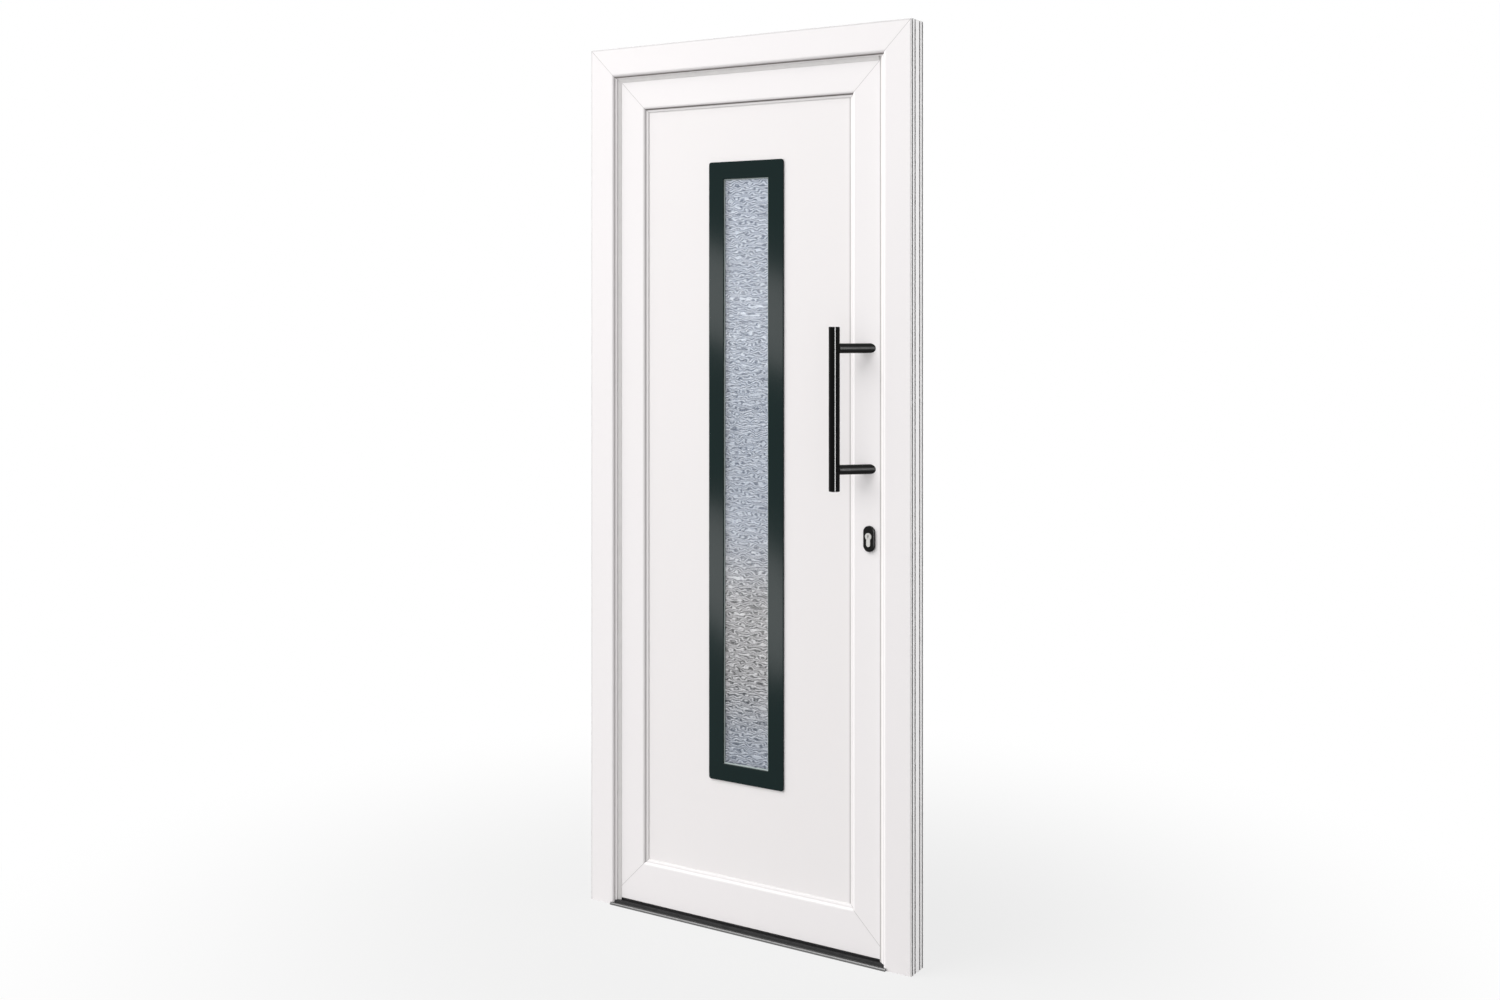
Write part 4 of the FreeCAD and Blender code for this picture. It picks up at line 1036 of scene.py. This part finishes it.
# %% Metal of the lock
def make_brushed(name, tone, along, rough):
    """Brushed metal with lines along one axis and a slow change of tone."""
    material, tree, shader = new_finish(name, Metallic=1.0)
    lines = use_effect(tree, pulled_lines, "Height", Stretch=along)
    cloud = use_effect(tree, tone_drift, "Shade", Scale=30.0, Strength=0.15)
    bright = reckon(tree, "MULTIPLY", spread(tree, lines, 0.88, 1.0), cloud)
    feed_shader(
        tree, shader, Base_Color=shade_with(tree, (*tone, 1.0), bright),
        Roughness=spread(tree, lines, rough, rough + 0.14),
        Normal=bump_from(tree, lines, 0.01 * MM, 0.5),
    )
    return material


nickel = make_brushed("satin_nickel", (0.74, 0.73, 0.71), (60.0, 900.0, 2200.0), 0.26)
zinc = make_brushed("zinc_steel", (0.60, 0.60, 0.61), (1800.0, 1800.0, 8.0), 0.3)
dress(nickel, "lock_cylinder", "key_plug")
dress(zinc, "lock_faceplate", "latch_bolt", "dead_bolt", "strike_plate")

# %% [markdown]
# The hinges are cast and powder coated white. Powder coat on a casting has an orange peel that
# is coarser than the plastic's grain.

# %% White hinges
HINGE_HEIGHTS = ("lower", "middle", "upper")
HINGE_WHITE = (0.85, 0.845, 0.84, 1.0)


def make_hinge_coat():
    """White powder coat with orange peel."""
    material, tree, shader = new_finish("white_hinge_coat", Specular_IOR_Level=0.45)
    peel = use_effect(tree, fine_grain, "Height", Scale=520.0)
    feed_shader(
        tree, shader, Base_Color=clouded(tree, HINGE_WHITE, 25.0, 0.06),
        Roughness=spread(tree, peel, 0.26, 0.36),
        Normal=bump_from(tree, peel, 0.06 * MM, 0.5),
    )
    return material


hinge_halves = [
    f"hinge_{level}_on_{side}" for level in HINGE_HEIGHTS for side in ("frame", "leaf")
]
dress(make_hinge_coat(), *hinge_halves, "hinge_pins")

# %% [markdown]
# Screws hold the hinges, the faceplate and the strike. All share one head: a low cylinder with
# a rounded rim and a cross recess. A 3 by 3 grid without its corners is a cross, so we bridge
# the head's round edge to that cross and push the cross down. Each head is made once, of a few
# dozen faces, and copied to its places.

# %% One screw head
HEAD_SIDES = 16
CROSS_SIZE = 0.55
CORNER_FROM = 0.3
CROSS_TAPER = 0.8
RIM_ROUND = 0.3


def build_head_mesh(radius, height, recess):
    """A pan head along +Z, standing on Z = 0, with a cross recess."""
    head = bmesh.new()
    bmesh.ops.create_circle(head, cap_ends=False, radius=radius, segments=HEAD_SIDES)
    foot_edges = head.edges[:]
    grown = bmesh.ops.extrude_edge_only(head, edges=foot_edges)["geom"]
    raised = [part for part in grown if isinstance(part, bmesh.types.BMVert)]
    bmesh.ops.translate(head, verts=raised, vec=(0.0, 0.0, height))
    rim = [edge for edge in head.edges if all(point in raised for point in edge.verts)]
    bmesh.ops.contextual_create(head, geom=foot_edges)
    before = set(head.faces)
    bmesh.ops.create_grid(
        head, x_segments=3, y_segments=3, size=CROSS_SIZE * radius,
        matrix=Matrix.Translation((0.0, 0.0, height)),
    )
    cells = [face for face in head.faces if face not in before]
    far = CORNER_FROM * radius
    corners = [
        cell for cell in cells
        if abs(cell.calc_center_median().x) > far and abs(cell.calc_center_median().y) > far
    ]
    bmesh.ops.delete(head, geom=corners, context="FACES")
    cross = [cell for cell in head.faces if cell not in before]
    outline = [edge for cell in cross for edge in cell.edges if edge.is_boundary]
    bmesh.ops.bridge_loops(head, edges=rim + outline)
    sunk = bmesh.ops.extrude_face_region(head, geom=cross)["geom"]
    low = [part for part in sunk if isinstance(part, bmesh.types.BMVert)]
    bmesh.ops.translate(head, verts=low, vec=(0.0, 0.0, -recess))
    bmesh.ops.scale(head, verts=low, vec=(CROSS_TAPER, CROSS_TAPER, 1.0))
    bmesh.ops.delete(head, geom=[cell for cell in cross if cell.is_valid], context="FACES")
    bmesh.ops.bevel(
        head, geom=rim, offset=RIM_ROUND * height, offset_type="OFFSET", segments=2,
        profile=0.5, affect="EDGES", material=-1,
    )
    bmesh.ops.recalc_face_normals(head, faces=head.faces)
    mesh = bpy.data.meshes.new("screw_head")
    head.to_mesh(mesh)
    head.free()
    return mesh


pan_head = build_head_mesh(4.0 * MM, 2.0 * MM, 1.5 * MM)
low_head = build_head_mesh(3.6 * MM, 1.1 * MM, 0.8 * MM)
print("screw heads", len(pan_head.polygons), "and", len(low_head.polygons), "faces")

# %% [markdown]
# Each row of screws is one piece. Its places come from the boxes of the solids that it holds,
# so the screws stay on the plates if the door changes.

# %% Rows of screws
FACE_ROOM = Matrix.Rotation(radians(-90), 4, "X")
FACE_LOCK = Matrix.Rotation(radians(90), 4, "Y")
FACE_HINGE = Matrix.Rotation(radians(-90), 4, "Y")
FIRST_SPIN, NEXT_SPIN = 17.0, 31.0
FRAME_PLATE_THICK, LEAF_PLATE_THICK = 6.0 * MM, 5.0 * MM
FRAME_ROW_IN, LEAF_ROW_IN = 6.5 * MM, 14.0 * MM
FRAME_STEPS = (-26.0, 0.0, 26.0)
LEAF_STEPS = (-33.0, -11.0, 11.0, 33.0)
FACEPLATE_END, STRIKE_END = 14.0 * MM, 12.0 * MM
FACEPLATE_LEVELS = (0.42, 0.70, 0.955, 1.20, 1.46, 1.70)


def build_screws(name, body, head, facing, places):
    """Copies of one head at several places, each turned a little differently in its plane."""
    shape = bmesh.new()
    for number, spot in enumerate(places):
        begin = len(shape.verts)
        shape.from_mesh(head)
        shape.verts.ensure_lookup_table()
        spin = Matrix.Rotation(radians(FIRST_SPIN + NEXT_SPIN * number), 4, "Z")
        turned = Matrix.Translation(spot) @ facing @ spin
        bmesh.ops.transform(shape, matrix=turned, verts=shape.verts[begin:])
    screws = stand_piece(name, shape, body)
    screws.data.materials.append(zinc)


frame_plate_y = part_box("frame_hinge_jamb")[1].y + FRAME_PLATE_THICK
leaf_plate_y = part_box("leaf_hinge_stile")[1].y + LEAF_PLATE_THICK
on_frame, on_leaf = [], []
for level in HINGE_HEIGHTS:
    low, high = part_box(f"hinge_{level}_on_frame")
    for step in FRAME_STEPS:
        z = (low.z + high.z) / 2 + step * MM
        on_frame.append((low.x + FRAME_ROW_IN, frame_plate_y, z))
    low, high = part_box(f"hinge_{level}_on_leaf")
    for step in LEAF_STEPS:
        z = (low.z + high.z) / 2 + step * MM
        on_leaf.append((high.x - LEAF_ROW_IN, leaf_plate_y, z))
build_screws("hinge_screws_on_frame", "door_frame", pan_head, FACE_ROOM, on_frame)
build_screws("hinge_screws_on_leaf", "leaf", pan_head, FACE_ROOM, on_leaf)

low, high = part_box("lock_faceplate")
middle_y = (low.y + high.y) / 2
levels = (low.z + FACEPLATE_END, *FACEPLATE_LEVELS, high.z - FACEPLATE_END)
spots = [(high.x, middle_y, z) for z in levels]
build_screws("faceplate_screws", "leaf", low_head, FACE_LOCK, spots)
low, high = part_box("strike_plate")
spots = [(low.x, middle_y, z) for z in (low.z + STRIKE_END, high.z - STRIKE_END)]
build_screws("strike_screws", "door_frame", low_head, FACE_HINGE, spots)
